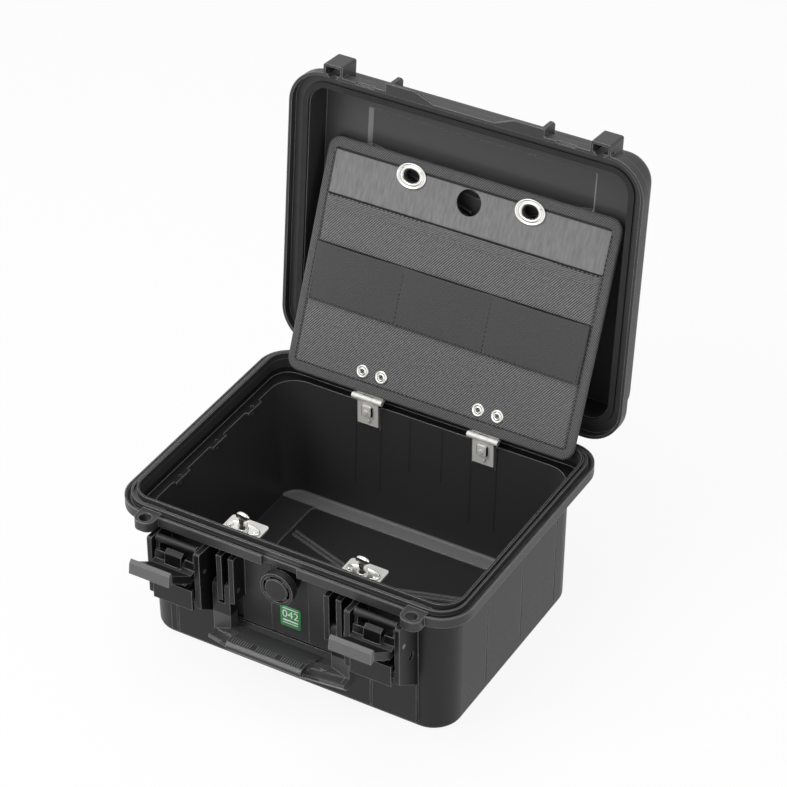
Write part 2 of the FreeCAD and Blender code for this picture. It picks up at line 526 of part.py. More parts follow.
        additions.append(block(f"bracket_pad_{side_name}",
                               (f"{side} * eyelet_x - bracket_half", f"{side} * eyelet_x + bracket_half"),
                               ("-tub_y - tub_lean / 2", "-bracket_seat"),
                               ("bracket_top - bracket_leg - ledge_thick", "ledge_height")))
    piece("base_shell", cut("base_shell", fuse("shell_fitted", additions), late_holes))


# Paired ribs in the shape of two arrow heads, their noses towards the middle.
def chevrons(name, reach, low, high):
    ribs = []
    for side in (-1, 1):
        for end in (-1, 1):
            for number, shift in enumerate(("0", "chevron_pitch")):
                near = f"{side} * chevron_pitch"
                far = f"{side} * ({reach})"
                outer = f"{end} * (chevron_end - {shift}"
                inner = f"{end} * (chevron_nose - {shift}"
                corners = [(near, f"{inner})"), (far, f"{outer})"), (far, f"{outer} - chevron_wide)"),
                           (near, f"{inner} - chevron_wide)")]
                ribs.append(plate(f"{name}_rib_{side + 1}_{end + 1}_{number}", "XY_Plane", corners,
                                  (low, high)))
    return ribs


def lid_shell():
    skirt = slab("lid_band", "lid_x", "lid_y", "lid_y", "lid_corner", "lid_foot", "lid_foot + band_high")
    shoulder = slab("lid_shoulder", "lid_x", "lid_y", "lid_y", "lid_corner", "lid_foot + band_high",
                    "lid_foot + band_high + shoulder_rise", "shoulder_slope_angle")
    crown = slab("lid_crown", "lid_x - lid_inset", "lid_y - lid_inset", "lid_y - lid_inset",
                 "lid_body_corner",
                 "lid_seat", "lid_high")
    soften(crown, size("lid_high"), "lid_top_round")
    solids = [skirt, shoulder, crown]
    holes = [slab("lid_rim_recess", "lid_x - lid_skirt", "lid_y - lid_skirt", "lid_y - lid_skirt",
                  "lid_corner - lid_skirt", "rim_height - overrun", "lid_seat"),
             slab("lid_cavity", "lid_cavity_x", "lid_cavity_y", "lid_cavity_y", "lid_cavity_corner",
                  "rim_height - overrun", "lid_ceiling")]
    for end_name, end in (("front", -1), ("rear", 1)):
        field = [("-ceiling_x", f"{end} * ceiling_y"), ("ceiling_x", f"{end} * ceiling_y"),
                 ("ceiling_x", f"{end} * (ceiling_y - ceiling_side)"), ("0", f"{end} * ceiling_nose"),
                 ("-ceiling_x", f"{end} * (ceiling_y - ceiling_side)")]
        holes.append(plate(f"ceiling_field_{end_name}", "XY_Plane", field,
                           ("lid_ceiling", "lid_ceiling + ceiling_step"),
                           None, "-ceiling_slope_angle"))
    fin = [("-lid_y + lid_skirt / 2", "lid_foot"), ("-fin_front", "lid_foot"),
           ("-fin_front", "fin_high - fin_thick"), ("-fin_front + fin_thick", "fin_high"),
           ("-lid_y + lid_inset", "fin_high"), ("-lid_y + lid_inset", "lid_foot + band_high")]
    for side_name, side in sides.items():
        low, high = sided(side, "eye_x - eye_half", "eye_x + eye_half")
        boss = [(low, "-eye_front"), (high, "-eye_front"), (high, "-lid_y + lid_inset"),
                (low, "-lid_y + lid_inset")]
        solids.append(plate(f"lid_boss_{side_name}", "XY_Plane", boss, ("lid_foot", "boss_high"),
                            {0: "boss_round", 1: "boss_round"}))
        solids.append(plate(f"lid_fin_{side_name}", "YZ_Plane", fin,
                            sided(side, "fin_x - fin_thick / 2", "fin_x + fin_thick / 2")))
        hump = [("latch_x - hump_inner", "-lid_y + lid_skirt / 2"), ("latch_x - hump_inner", "-lid_y"),
                ("latch_x - hump_bend", "-hump_front"), ("latch_x - hump_outer", "-hump_front"),
                ("latch_x - hump_outer", "-lid_y + lid_skirt / 2")]
        if side < 0:
            hump = [(f"-({across})", along) for across, along in reversed(hump)]
        solids.append(plate(f"lid_hump_{side_name}", "XY_Plane", hump,
                            ("lid_foot", "lid_foot + hump_thick"),
                            {2: "hump_round"}))
        span = sided(side, "hinge_x - lid_knuckle_half", "hinge_x + lid_knuckle_half")
        solids.append(rod(f"lid_knuckle_{side_name}", "x", "knuckle_radius", span, ("hinge_y", "hinge_z")))
        solids.append(block(f"lid_knuckle_arm_{side_name}", span,
                            ("lid_y - lid_skirt / 2", "hinge_y + knuckle_radius"),
                            ("hinge_z", "lid_foot + band_high")))
        holes.append(block(f"lid_boss_hollow_{side_name}",
                           sided(side, "eye_x - eye_half + boss_wall", "eye_x + eye_half - boss_wall"),
                           ("-eye_front + boss_wall", "-lid_y"),
                           ("lid_foot - overrun", "boss_high - boss_wall")))
        holes.append(rod(f"lid_eye_hole_{side_name}", "z", "eye_radius",
                         ("rim_height - overrun", "boss_high + overrun"),
                         (f"{side} * eye_x", "-eye_y")))
        holes.append(rod(f"lid_pin_hole_{side_name}", "x", "hinge_pin_radius + running_gap",
                         (f"{span[0]} - overrun", f"{span[1]} + overrun"), ("hinge_y", "hinge_z")))
        holes.append(block(f"lid_slot_{side_name}",
                           sided(side, "latch_x - slot_half", "latch_x + slot_half"),
                           ("-lid_y - overrun", "-lid_y + slot_deep"),
                           ("rim_height - overrun", "lid_foot + slot_high")))
    shell = cut("lid_hollow", fuse("lid_solid", solids), holes)
    ribs = chevrons("ceiling", "ceiling_x - chevron_out", "lid_ceiling - chevron_rise",
                    "lid_ceiling + ceiling_step / 2")
    piece("lid_shell", fuse("lid_shell", [shell] + ribs), swing_open)
    outer = slab("seal_outer", "seal_x", "seal_y", "seal_y", "seal_corner", "lid_seat - seal_thick",
                 "lid_seat")
    inner = slab("seal_inner", "seal_x - seal_wide", "seal_y - seal_wide", "seal_y - seal_wide",
                 "seal_corner - seal_wide", "lid_seat - seal_thick - overrun", "lid_seat + overrun")
    piece("lid_seal", cut("lid_seal", outer, [inner]), swing_open)
    pins = [rod(f"hinge_pin_{side_name}", "x", "hinge_pin_radius",
                sided(side, "hinge_x - lid_knuckle_half - seat_gap - base_knuckle_wide",
                      "hinge_x + lid_knuckle_half + seat_gap + base_knuckle_wide"), ("hinge_y", "hinge_z"))
            for side_name, side in sides.items()]
    piece("hinge_pins", group("hinge_pins", pins))


def latches():
    paddle = [("-latch_y - paddle_root_out", "latch_z - paddle_root_low"),
              ("-latch_y - hook_back_out", "latch_z + hook_back_up"),
              ("-latch_y - hook_out", "latch_z + hook_up"),
              ("-latch_y - lip_top_out", "latch_z + lip_top_up"),
              ("-latch_y - toe_out", "latch_z + toe_up"),
              ("-latch_y - paddle_tip_out", "latch_z + paddle_tip_up"),
              ("-latch_y - paddle_foot_out", "latch_z - paddle_foot_low"),
              ("-latch_y", "latch_z - hub_radius"),
              ("-latch_y", "latch_z + hub_radius / 2")]
    tab = [("-latch_y - tab_foot_out", "latch_z - tab_foot_low"), ("-latch_y", "latch_z - hub_radius"),
           ("-latch_y", "latch_z"), ("-latch_y - tab_back_out", "latch_z + tab_back_up"),
           ("-latch_y - tab_top_out", "latch_z + tab_top_up")]
    flank = [("-latch_y", "latch_z - hub_radius"),
             ("-latch_y - side_plate_out - cheek_thick", "latch_z - hub_radius"),
             ("-latch_y - side_plate_out", "latch_z + side_plate_up"),
             ("-latch_y", "latch_z + side_plate_up")]
    cheek = [("-latch_y - cheek_thick", "latch_z"), ("-bar_y - bar_radius / 2", "bar_z"),
             ("-bar_y + bar_radius / 2", "bar_z"), ("-latch_y + cheek_thick", "latch_z")]
    for side_name, side in sides.items():
        whole = sided(side, "latch_x - latch_half", "latch_x + latch_half")
        solids = [plate(f"paddle_{side_name}", "YZ_Plane", paddle, whole,
                        {2: "hook_round", 4: "toe_round"}),
                  rod(f"hub_{side_name}", "x", "hub_radius", whole, ("-latch_y", "latch_z")),
                  rod(f"bar_{side_name}", "x", "bar_radius", whole, ("-bar_y", "bar_z")),
                  plate(f"tab_{side_name}", "YZ_Plane", tab,
                        sided(side, "latch_x - tab_half", "latch_x + tab_half"),
                        {4: "tab_round"})]
        for number, (start, end) in enumerate((("latch_x - latch_half",
                                                "latch_x - tab_half - cheek_thick / 2"),
                                               ("latch_x + tab_half + cheek_thick / 2",
                                                "latch_x + latch_half"))):
            solids.append(plate(f"flank_{side_name}_{number}", "YZ_Plane", flank, sided(side, start, end)))
        for number, (start, end) in enumerate((("latch_x - latch_half",
                                                "latch_x - latch_half + cheek_thick"),
                                               ("latch_x + latch_half - cheek_thick",
                                                "latch_x + latch_half"))):
            solids.append(plate(f"cheek_{side_name}_{number}", "YZ_Plane", cheek, sided(side, start, end)))
        bore = rod(f"lever_bore_{side_name}", "x", "latch_pin_radius + running_gap",
                   sided(side, "latch_x - latch_half - overrun", "latch_x + latch_half + overrun"),
                   ("-latch_y", "latch_z"))
        name = f"latch_lever_{side_name}"
        piece(name, cut(name, fuse(f"lever_solid_{side_name}", solids), [bore]))
    pins = [rod(f"latch_pin_{side_name}", "x", "latch_pin_radius",
                sided(side, "latch_x - bay_half - ear_inner_thick", "latch_x + bay_half + ear_outer_thick"),
                ("-latch_y", "latch_z")) for side_name, side in sides.items()]
    piece("latch_pins", group("latch_pins", pins))


# The rail of the handle runs from an arm forward and up to the grip, with a shallow trough along its top.
def rail(name, side, corners, start_share, end_share):
    whole = Vector(side * (size("rail_end") - size("handle_x")), -size("rail_step_out"),
                   size("rail_step_up"))
    sketch = doc.addObject("Sketcher::SketchObject", f"{name}_outline")
    sketch.Placement = Placement(Vector(side * size("handle_x"), 0, 0) + whole * start_share,
                                 Rotation(Vector(1, 1, 1), 120))
    drawn(sketch, corners)
    bar = doc.addObject("Part::Extrusion", name)
    bar.Base = sketch
    bar.DirMode = "Custom"
    bar.Dir = whole * (end_share - start_share)
    bar.LengthFwd = bar.Dir.Length
    bar.Solid = True
    return bar


def handle():
    behind = "-handle_y + rail_back_in"
    bar = [(behind, "handle_z - rail_low"), ("-handle_y - rail_low_out", "handle_z - rail_low"),
           ("-handle_y - rail_nose_out", "handle_z - rail_nose"),
           ("-handle_y - rail_lip_out", "handle_z - rail_high"),
           (behind, "handle_z - rail_high")]
    trough_front = "-handle_y - trough_back_out - trough_wide"
    trough = [("-handle_y - trough_back_out", "handle_z - rail_high - trough_deep"),
              (trough_front, "handle_z - rail_high - trough_deep"),
              (trough_front, "handle_z - rail_high + trough_deep"),
              ("-handle_y - trough_back_out", "handle_z - rail_high + trough_deep")]
    grip = [(behind, "handle_z - web_low"), ("-handle_y - grip_keel_out", "handle_z - grip_keel"),
            ("-handle_y - grip_chin_out", "handle_z - grip_chin"),
            ("-handle_y - grip_nose_out", "handle_z - grip_nose"),
            ("-handle_y - grip_brow_out", "handle_z - grip_crest"),
            ("-handle_y - grip_crest_out", "handle_z - grip_crest"), (behind, "handle_z - web_high")]
    web = [(behind, "handle_z - web_low"), ("-handle_y - web_front_out", "handle_z - grip_keel"),
           ("-handle_y - web_front_out", "handle_z - web_front_high"), (behind, "handle_z - web_high")]
    arm_in = "handle_x - handle_arm_wide"
    depth = ("-handle_y - tine_radius", "-handle_y + tine_radius")
    soft = "grip_round"
    solids = [plate("grip_block", "YZ_Plane", grip, ("-grip_half", "grip_half"),
                    {2: soft, 3: soft, 4: soft, 5: soft}),
              plate("grip_web", "YZ_Plane", web, (f"-({arm_in}) - seat_gap", f"{arm_in} + seat_gap"))]
    holes = []
    for side_name, side in sides.items():
        solids.append(rail(f"rail_{side_name}", side, bar, 0, 1))
        holes.append(rail(f"trough_{side_name}", side, trough, size("trough_start_share"),
                          size("trough_end_share")))
        solids.append(block(f"handle_arm_{side_name}", sided(side, arm_in, "handle_x"), depth,
                            ("handle_z - rail_low", "handle_z - handle_fork")))
        for number, (start, end) in enumerate(((arm_in, f"{arm_in} + tine_thick"),
                                               ("handle_x - tine_thick", "handle_x"))):
            span = sided(side, start, end)
            solids.append(block(f"tine_{side_name}_{number}", span, depth,
                                ("handle_z - rail_high", "handle_z")))
            solids.append(rod(f"tine_head_{side_name}_{number}", "x", "tine_radius", span,
                              ("-handle_y", "handle_z")))
        holes.append(rod(f"handle_bore_{side_name}", "x", "handle_pin_radius + running_gap",
                         sided(side, f"{arm_in} - overrun", "handle_x + overrun"),
                         ("-handle_y", "handle_z")))
    piece("handle", cut("handle", fuse("handle_solid", solids), holes))
    pins = [rod(f"handle_pin_{side_name}", "x", "handle_pin_radius", sided(side, "rib_one", "handle_x"),
                ("-handle_y", "handle_z")) for side_name, side in sides.items()]
    piece("handle_pins", group("handle_pins", pins))
    pads = [block(f"grip_pad_{number + 1}",
                  (f"{number} * grip_pad_pitch - grip_pad_half",
                   f"{number} * grip_pad_pitch + grip_pad_half"),
                  ("-handle_y - grip_brow_out + grip_pad_edge",
                   "-handle_y - grip_crest_out - grip_pad_edge"),
                  ("handle_z - grip_crest", "handle_z - grip_crest + grip_pad_rise")) for number in (-1,
                                                                                                     0, 1)]
    piece("grip_pads", group("grip_pads", pads))


def valve():
    ring = rod("valve_ring", "y", "valve_radius", ("-valve_front", "-valve_front + valve_deep"),
               ("0", "valve_z"))
    stem = rod("valve_stem", "y", "valve_stem_radius",
               ("-valve_front + valve_deep", "-wall_face + valve_nut_thick"),
               ("0", "valve_z"))
    trench = cut("valve_trench",
                 rod("trench_outer", "y", "valve_slot_radius",
                     ("-valve_front - overrun", "-valve_front + valve_slot_deep"),
                     ("0", "valve_z")),
                 [rod("trench_inner", "y", "valve_cap_radius",
                      ("-valve_front - overrun", "-valve_front + overrun"),
                      ("0", "valve_z"))])
    piece("valve_body", cut("valve_body", fuse("valve_solid", [ring, stem]), [trench]))
    piece("valve_cap", rod("valve_cap", "y", "valve_cap_radius - seat_gap",
                           ("-valve_front - valve_cap_rise", "-valve_front"), ("0", "valve_z")))
    washer = rod("valve_washer", "y", "valve_boss_radius", ("-valve_front + valve_deep",
                 "-valve_front + valve_deep + valve_seal_thick"), ("0", "valve_z"))
    washer_hole = rod("washer_hole", "y", "valve_stem_radius + running_gap", ("-valve_front", "0"),
                      ("0", "valve_z"))
    piece("valve_seal", cut("valve_seal", washer, [washer_hole]))
    nut = rod("nut_blank", "y", "valve_nut_radius", ("-wall_face", "-wall_face + valve_nut_thick"),
              ("0", "valve_z"))
    nut_hole = rod("nut_hole", "y", "valve_stem_radius + running_gap", ("-tub_y", "0"), ("0", "valve_z"))
    piece("valve_nut", cut("valve_nut", nut, [nut_hole]))
    piece("label", block("label", ("-label_half", "label_half"),
                         ("-recess_face - label_thick", "-recess_face"),
                         ("label_low", "label_high")))


# A flat sheet of the panel between two distances behind its front face.
def panel_sheet(name, half, low, high, front, rear, corner):
    corners = [(f"-({half})", f"panel_z + {low}"), (half, f"panel_z + {low}"),
               (half, f"panel_z + {high}"), (f"-({half})", f"panel_z + {high}")]
    return plate(name, "XZ_Plane", corners, (f"panel_y + {front}", f"panel_y + {rear}"),
                 dict.fromkeys(range(4), corner))


def panel_oval(name, side, half_x, half_v, front, rear):
    corners = [(f"{side} * eyelet_x - ({half_x})", f"panel_z + eyelet_v - ({half_v})"),
               (f"{side} * eyelet_x + {half_x}", f"panel_z + eyelet_v - ({half_v})"),
               (f"{side} * eyelet_x + {half_x}", f"panel_z + eyelet_v + {half_v}"),
               (f"{side} * eyelet_x - ({half_x})", f"panel_z + eyelet_v + {half_v}")]
    return plate(name, "XZ_Plane", corners, (f"panel_y + ({front})", f"panel_y + ({rear})"),
                 dict.fromkeys(range(4), f"({half_v}) - running_gap"))


def panel():
    front, back = "(-binding_lap)", "(board_thick + binding_lap)"

    def eyelet_holes(name):
        return [panel_oval(f"{name}_{side_name}", side, "eyelet_hole_x + eyelet_tube",
                           "eyelet_hole_v + eyelet_tube",
                           "-overrun", "overrun") for side_name, side in sides.items()]

    def finger_hole(name):
        return [rod(name, "y", "finger_radius", ("panel_y - overrun", "panel_y + overrun"),
                    ("0", "panel_z + finger_v"))]

    def rivet_holes(name):
        return [rod(f"{name}_{side_name}_{number}", "y", "rivet_shank",
                    ("panel_y - overrun", "panel_y + overrun"),
                    (f"{side} * eyelet_x + {turn} * rivet_pitch / 2", "panel_z + rivet_v"))
                for side_name, side in sides.items() for number, turn in enumerate((-1, 1))]

    board = panel_sheet("board_sheet", "panel_half - board_inset", "board_inset",
                        "panel_long - board_inset", "0",
                        "board_thick", "panel_corner - board_inset")
    piece("panel_board", cut("panel_board", board, eyelet_holes("board_eye") + finger_hole("board_finger")
                             + rivet_holes("board_rivet")), lean_back)
    rim = panel_sheet("binding_sheet", "panel_half", "0", "panel_long", front, back, "panel_corner")
    window = panel_sheet("binding_window", "panel_half - binding_wide", "binding_wide",
                         "panel_long - binding_wide",
                         "(-overrun)", "overrun", "window_corner")
    slot = panel_sheet("binding_slot", "panel_half - board_inset", "board_inset",
                       "panel_long - board_inset", "0",
                       "board_thick", "panel_corner - board_inset")
    piece("panel_binding", cut("panel_binding", rim, [window, slot] + eyelet_holes("binding_eye")),
          lean_back)
    half = "panel_half - binding_wide - panel_gap"
    band = panel_sheet("band_sheet", half, "band_low", "band_top", "(-cloth_thick)", "0", "sheet_corner")
    piece("panel_band", cut("panel_band", band, eyelet_holes("band_eye") + finger_hole("band_finger")),
          lean_back)
    pocket = panel_sheet("pocket_sheet", half, "binding_wide + panel_gap", "pocket_high",
                         "(-cloth_thick)", "0",
                         "sheet_corner")
    piece("pocket_cloth", cut("pocket_cloth", pocket, rivet_holes("pocket_rivet")), lean_back)
    strip = panel_sheet("strip_sheet", half, "strip_low", "strip_high", "(-cloth_thick - strip_thick)",
                        "(-cloth_thick)", "sheet_corner")
    piece("pocket_strip", group("pocket_strip", [strip]), lean_back)
    eyelets = []
    for side_name, side in sides.items():
        rings = [panel_oval(f"eyelet_face_{side_name}", side, "eyelet_half_x", "eyelet_half_v",
                            "-binding_lap - eyelet_flange", "-binding_lap"),
                 panel_oval(f"eyelet_tube_{side_name}", side, "eyelet_hole_x + eyelet_tube - panel_gap",
                            "eyelet_hole_v + eyelet_tube - panel_gap", "-binding_lap - eyelet_flange",
                            "board_thick + binding_lap + eyelet_back_thick"),
                 panel_oval(f"eyelet_back_{side_name}", side, "eyelet_hole_x + eyelet_back_wide",
                            "eyelet_hole_v + eyelet_back_wide", "board_thick + binding_lap",
                            "board_thick + binding_lap + eyelet_back_thick")]
        mouth = panel_oval(f"eyelet_mouth_{side_name}", side, "eyelet_hole_x", "eyelet_hole_v",
                           "-overrun", "overrun")
        eyelets.append(cut(f"eyelet_{side_name}", fuse(f"eyelet_solid_{side_name}", rings), [mouth]))
    piece("eyelets", group("eyelets", eyelets), lean_back)
    rivets = []
    leaves = []
    for side_name, side in sides.items():
        for number, turn in enumerate((-1, 1)):
            centre = (f"{side} * eyelet_x + {turn} * rivet_pitch / 2", "panel_z + rivet_v")
            label = f"{side_name}_{number}"
            head = rod(f"rivet_head_{label}", "y", "rivet_radius",
                       ("panel_y - cloth_thick - rivet_thick", "panel_y - cloth_thick"), centre)
            shank = rod(f"rivet_shank_{label}", "y", "rivet_shank - running_gap",
                        ("panel_y - cloth_thick - rivet_thick", "panel_y + board_thick + binding_lap"),
                        centre)
            bore = rod(f"rivet_bore_{label}", "y", "rivet_hole",
                       ("panel_y - overrun", "panel_y + overrun"), centre)
            rivets.append(cut(f"rivet_{label}", fuse(f"rivet_solid_{label}", [head, shank]), [bore]))
        across = (f"{side} * eyelet_x - leaf_half", f"{side} * eyelet_x + leaf_half")
        behind = "panel_y + board_thick + binding_lap"
        parts = [block(f"leaf_back_{side_name}", across, (behind, f"{behind} + leaf_thick"),
                       ("axis_local_z + barrel_radius - leaf_thick / 2", "panel_z + leaf_high"))]
        for number, (start, end) in enumerate((("-barrel_half", "-barrel_mid - seat_gap / 2"),
                                               ("barrel_mid + seat_gap / 2", "barrel_half"))):
            low = f"{side} * eyelet_x + ({start})"
            high = f"{side} * eyelet_x + ({end})"
            parts.append(rod(f"barrel_{side_name}_{number}", "x", "barrel_radius", (low, high),
                             ("axis_local_y", "axis_local_z")))
            parts.append(block(f"leaf_web_{side_name}_{number}", (low, high),
                               ("axis_local_y", f"{behind} + leaf_thick"),
                               ("axis_local_z + barrel_radius - leaf_thick",
                                "axis_local_z + barrel_radius")))
        pin_bore = rod(f"leaf_bore_{side_name}", "x", "panel_pin_radius + running_gap",
                       (f"{side} * eyelet_x - barrel_half - overrun",
                        f"{side} * eyelet_x + barrel_half + overrun"),
                       ("axis_local_y", "axis_local_z"))
        leaves.append(cut(f"panel_leaf_{side_name}", fuse(f"panel_leaf_solid_{side_name}", parts),
                          [pin_bore]))
    piece("panel_rivets", group("panel_rivets", rivets), lean_back)
    piece("panel_leaves", group("panel_leaves", leaves), lean_back)


def panel_hinges():
    leaves = []
    pins = []
    screws = []
    for side_name, side in sides.items():
        middle = f"{side} * eyelet_x"
        sheet = block(f"base_leaf_plate_{side_name}",
                      (f"{middle} - base_leaf_half", f"{middle} + base_leaf_half"),
                      ("leaf_seat - leaf_thick", "leaf_seat"),
                      ("axis_z - base_leaf_low", "axis_z - base_leaf_high"))
        tongue = block(f"base_leaf_tongue_{side_name}",
                       (f"{middle} - barrel_mid", f"{middle} + barrel_mid"),
                       ("leaf_seat - leaf_thick", "leaf_seat"), ("axis_z - base_leaf_low", "axis_z"))
        knuckle = rod(f"base_leaf_barrel_{side_name}", "x", "barrel_radius",
                      (f"{middle} - barrel_mid", f"{middle} + barrel_mid"), ("axis_y", "axis_z"))
        bridge = block(f"leaf_bridge_{side_name}", (f"{middle} - bridge_half", f"{middle} + bridge_half"),
                       ("leaf_seat - leaf_thick - bridge_rise", "leaf_seat - leaf_thick"),
                       ("axis_z - bridge_drop - bridge_half", "axis_z - bridge_drop + bridge_half"))
        bore = rod(f"base_leaf_bore_{side_name}", "x", "panel_pin_radius + running_gap",
                   (f"{middle} - barrel_half", f"{middle} + barrel_half"), ("axis_y", "axis_z"))
        leaves.append(cut(f"base_leaf_{side_name}",
                          fuse(f"base_leaf_solid_{side_name}", [sheet, tongue, knuckle, bridge]), [bore]))
        pins.append(rod(f"panel_pin_{side_name}", "x", "panel_pin_radius",
                        (f"{middle} - barrel_half", f"{middle} + barrel_half"), ("axis_y", "axis_z")))
        screws.append(rod(f"leaf_screw_{side_name}", "y", "leaf_screw_radius",
                          ("leaf_seat - leaf_thick - screw_head", "leaf_seat - leaf_thick"),
                          (middle, "axis_z - leaf_screw_drop")))
    piece("base_leaves", group("base_leaves", leaves))
    piece("panel_pins", group("panel_pins", pins))
    piece("leaf_screws", group("leaf_screws", screws))


def brackets():
    plates = []
    screws = []
    buttons = []
    rivets = []
    for side_name, side in sides.items():
        middle = f"{side} * eyelet_x"
        across = (f"{middle} - bracket_half", f"{middle} + bracket_half")
        shelf = [(across[0], "-bracket_seat"), (across[1], "-bracket_seat"),
                 (across[1], "-stud_y + bracket_deep"), (across[0], "-stud_y + bracket_deep")]
        top = plate(f"bracket_shelf_{side_name}", "XY_Plane", shelf,
                    ("bracket_top - bracket_thick", "bracket_top"),
                    {2: "bracket_round", 3: "bracket_round"})
        drop = block(f"bracket_drop_{side_name}", across,
                     ("-bracket_seat", "-bracket_seat + bracket_thick"),
                     ("bracket_top - bracket_leg", "bracket_top"))
        plates.append(fuse(f"bracket_{side_name}", [top, drop]))
        oval = [(f"{middle} - stud_plate_half", "-stud_y - stud_plate_deep"),
                (f"{middle} + stud_plate_half", "-stud_y - stud_plate_deep"),
                (f"{middle} + stud_plate_half", "-stud_y + stud_plate_deep"),
                (f"{middle} - stud_plate_half", "-stud_y + stud_plate_deep")]
        buttons.append(plate(f"button_base_{side_name}", "XY_Plane", oval,
                             ("bracket_top", "bracket_top + stud_plate_thick"),
                             dict.fromkeys(range(4), "stud_plate_deep - running_gap")))
        for number, turn in enumerate((-1, 1)):
            screws.append(rod(f"bracket_screw_{side_name}_{number}", "y", "bracket_screw_radius",
                              ("-bracket_seat + bracket_thick",
                               "-bracket_seat + bracket_thick + screw_head"),
                              (f"{middle} + {turn} * bracket_screw_x", "bracket_top - bracket_screw_drop")))
            rivets.append(rod(f"button_rivet_{side_name}_{number}", "z", "stud_rivet_radius",
                              ("bracket_top + stud_plate_thick",
                               "bracket_top + stud_plate_thick + stud_rivet_rise"),
                              (f"{middle} + {turn} * stud_rivet_x", "-stud_y")))
        neck = rod(f"stud_neck_{side_name}", "z", "stud_neck",
                   ("bracket_top + stud_plate_thick",
                    "bracket_top + stud_head_lift + stud_head_high / 2"), (middle, "-stud_y"))
        wing = [(f"{middle} - stud_head_half", "bracket_top + stud_head_lift"),
                (f"{middle} + stud_head_half", "bracket_top + stud_head_lift"),
                (f"{middle} + stud_head_half", "bracket_top + stud_head_lift + stud_head_high"),
                (f"{middle} - stud_head_half", "bracket_top + stud_head_lift + stud_head_high")]
        head = plate(f"stud_head_{side_name}", "XZ_Plane", wing,
                     ("-stud_y - stud_head_thick / 2", "-stud_y + stud_head_thick / 2"),
                     {2: "stud_head_round", 3: "stud_head_round"})
        piece(f"turn_stud_{side_name}", fuse(f"turn_stud_{side_name}", [neck, head]))
    piece("front_brackets", group("front_brackets", plates))
    piece("button_bases", group("button_bases", buttons))
    piece("button_rivets", group("button_rivets", rivets))
    piece("bracket_screws", group("bracket_screws", screws))


base_shell()
lid_shell()
latches()
handle()
valve()
panel()
panel_hinges()
brackets()
doc.recompute()

for thing in doc.Objects:
    if "Invalid" in thing.State or "Error" in thing.State:
        raise RuntimeError(f"{thing.Name} did not build: {thing.State}")
os.makedirs("parts", exist_ok=True)
for label, thing in pieces:
    shape = thing.Shape
    if shape.isNull() or not shape.isValid() or not shape.Solids:
        raise RuntimeError(f"{label} has no sound solid")
    shape.exportStep(f"parts/{label}.step")
    print(label, len(shape.Solids), round(shape.Volume), [round(edge, 1) for edge in (
        shape.BoundBox.XMin, shape.BoundBox.XMax, shape.BoundBox.YMin, shape.BoundBox.YMax,
        shape.BoundBox.ZMin, shape.BoundBox.ZMax)])
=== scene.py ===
import math

import bmesh
import bpy
import numpy as np
from mathutils import Matrix, Vector


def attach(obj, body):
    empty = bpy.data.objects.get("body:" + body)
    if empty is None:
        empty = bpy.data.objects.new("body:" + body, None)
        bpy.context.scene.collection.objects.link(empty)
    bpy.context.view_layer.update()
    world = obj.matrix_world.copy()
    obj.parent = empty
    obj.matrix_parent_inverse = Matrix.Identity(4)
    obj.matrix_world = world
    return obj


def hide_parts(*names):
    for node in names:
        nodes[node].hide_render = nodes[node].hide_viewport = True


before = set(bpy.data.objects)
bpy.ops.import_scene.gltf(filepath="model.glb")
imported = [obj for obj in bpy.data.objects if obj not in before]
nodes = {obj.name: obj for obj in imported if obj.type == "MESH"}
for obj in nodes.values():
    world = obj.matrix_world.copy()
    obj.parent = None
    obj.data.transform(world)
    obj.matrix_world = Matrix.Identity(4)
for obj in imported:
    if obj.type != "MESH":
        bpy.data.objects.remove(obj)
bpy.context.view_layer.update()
mm = 0.001
print("frame loaded:", len(nodes), "nodes")


# sRGB hex to the linear colour that a shader socket takes
def linear(code):
    parts = [int(code[i:i + 2], 16) / 255 for i in (1, 3, 5)]
    return [c / 12.92 if c <= 0.04045 else ((c + 0.055) / 1.055) ** 2.4 for c in parts] + [1.0]


# one node, its settings, and its inputs as plain values or as sockets to link from
def addNode(tree, kind, settings=None, inputs=None):
    node = tree.nodes.new(kind)
    for name, value in (settings or {}).items():
        setattr(node, name, value)
    for name, value in (inputs or {}).items():
        if isinstance(value, bpy.types.NodeSocket):
            tree.links.new(value, node.inputs[name])
        else:
            node.inputs[name].default_value = value
    return node


def newMaterial(name):
    material = bpy.data.materials.new(name)
    material.use_nodes = True
    tree = material.node_tree
    shader = tree.nodes["Principled BSDF"]
    place = addNode(tree, "ShaderNodeTexCoord")
    return material, tree, shader, place


def dress(piece, material):
    piece.data.materials.clear()
    piece.data.materials.append(material)


# merges the doubled points of a closed seam or pole and turns the faces outwards
def closeUp(mesh, reach=0.001 * mm):
    work = bmesh.new()
    work.from_mesh(mesh)
    bmesh.ops.remove_doubles(work, verts=work.verts, dist=reach)
    bmesh.ops.recalc_face_normals(work, faces=work.faces)
    work.to_mesh(mesh)
    work.free()


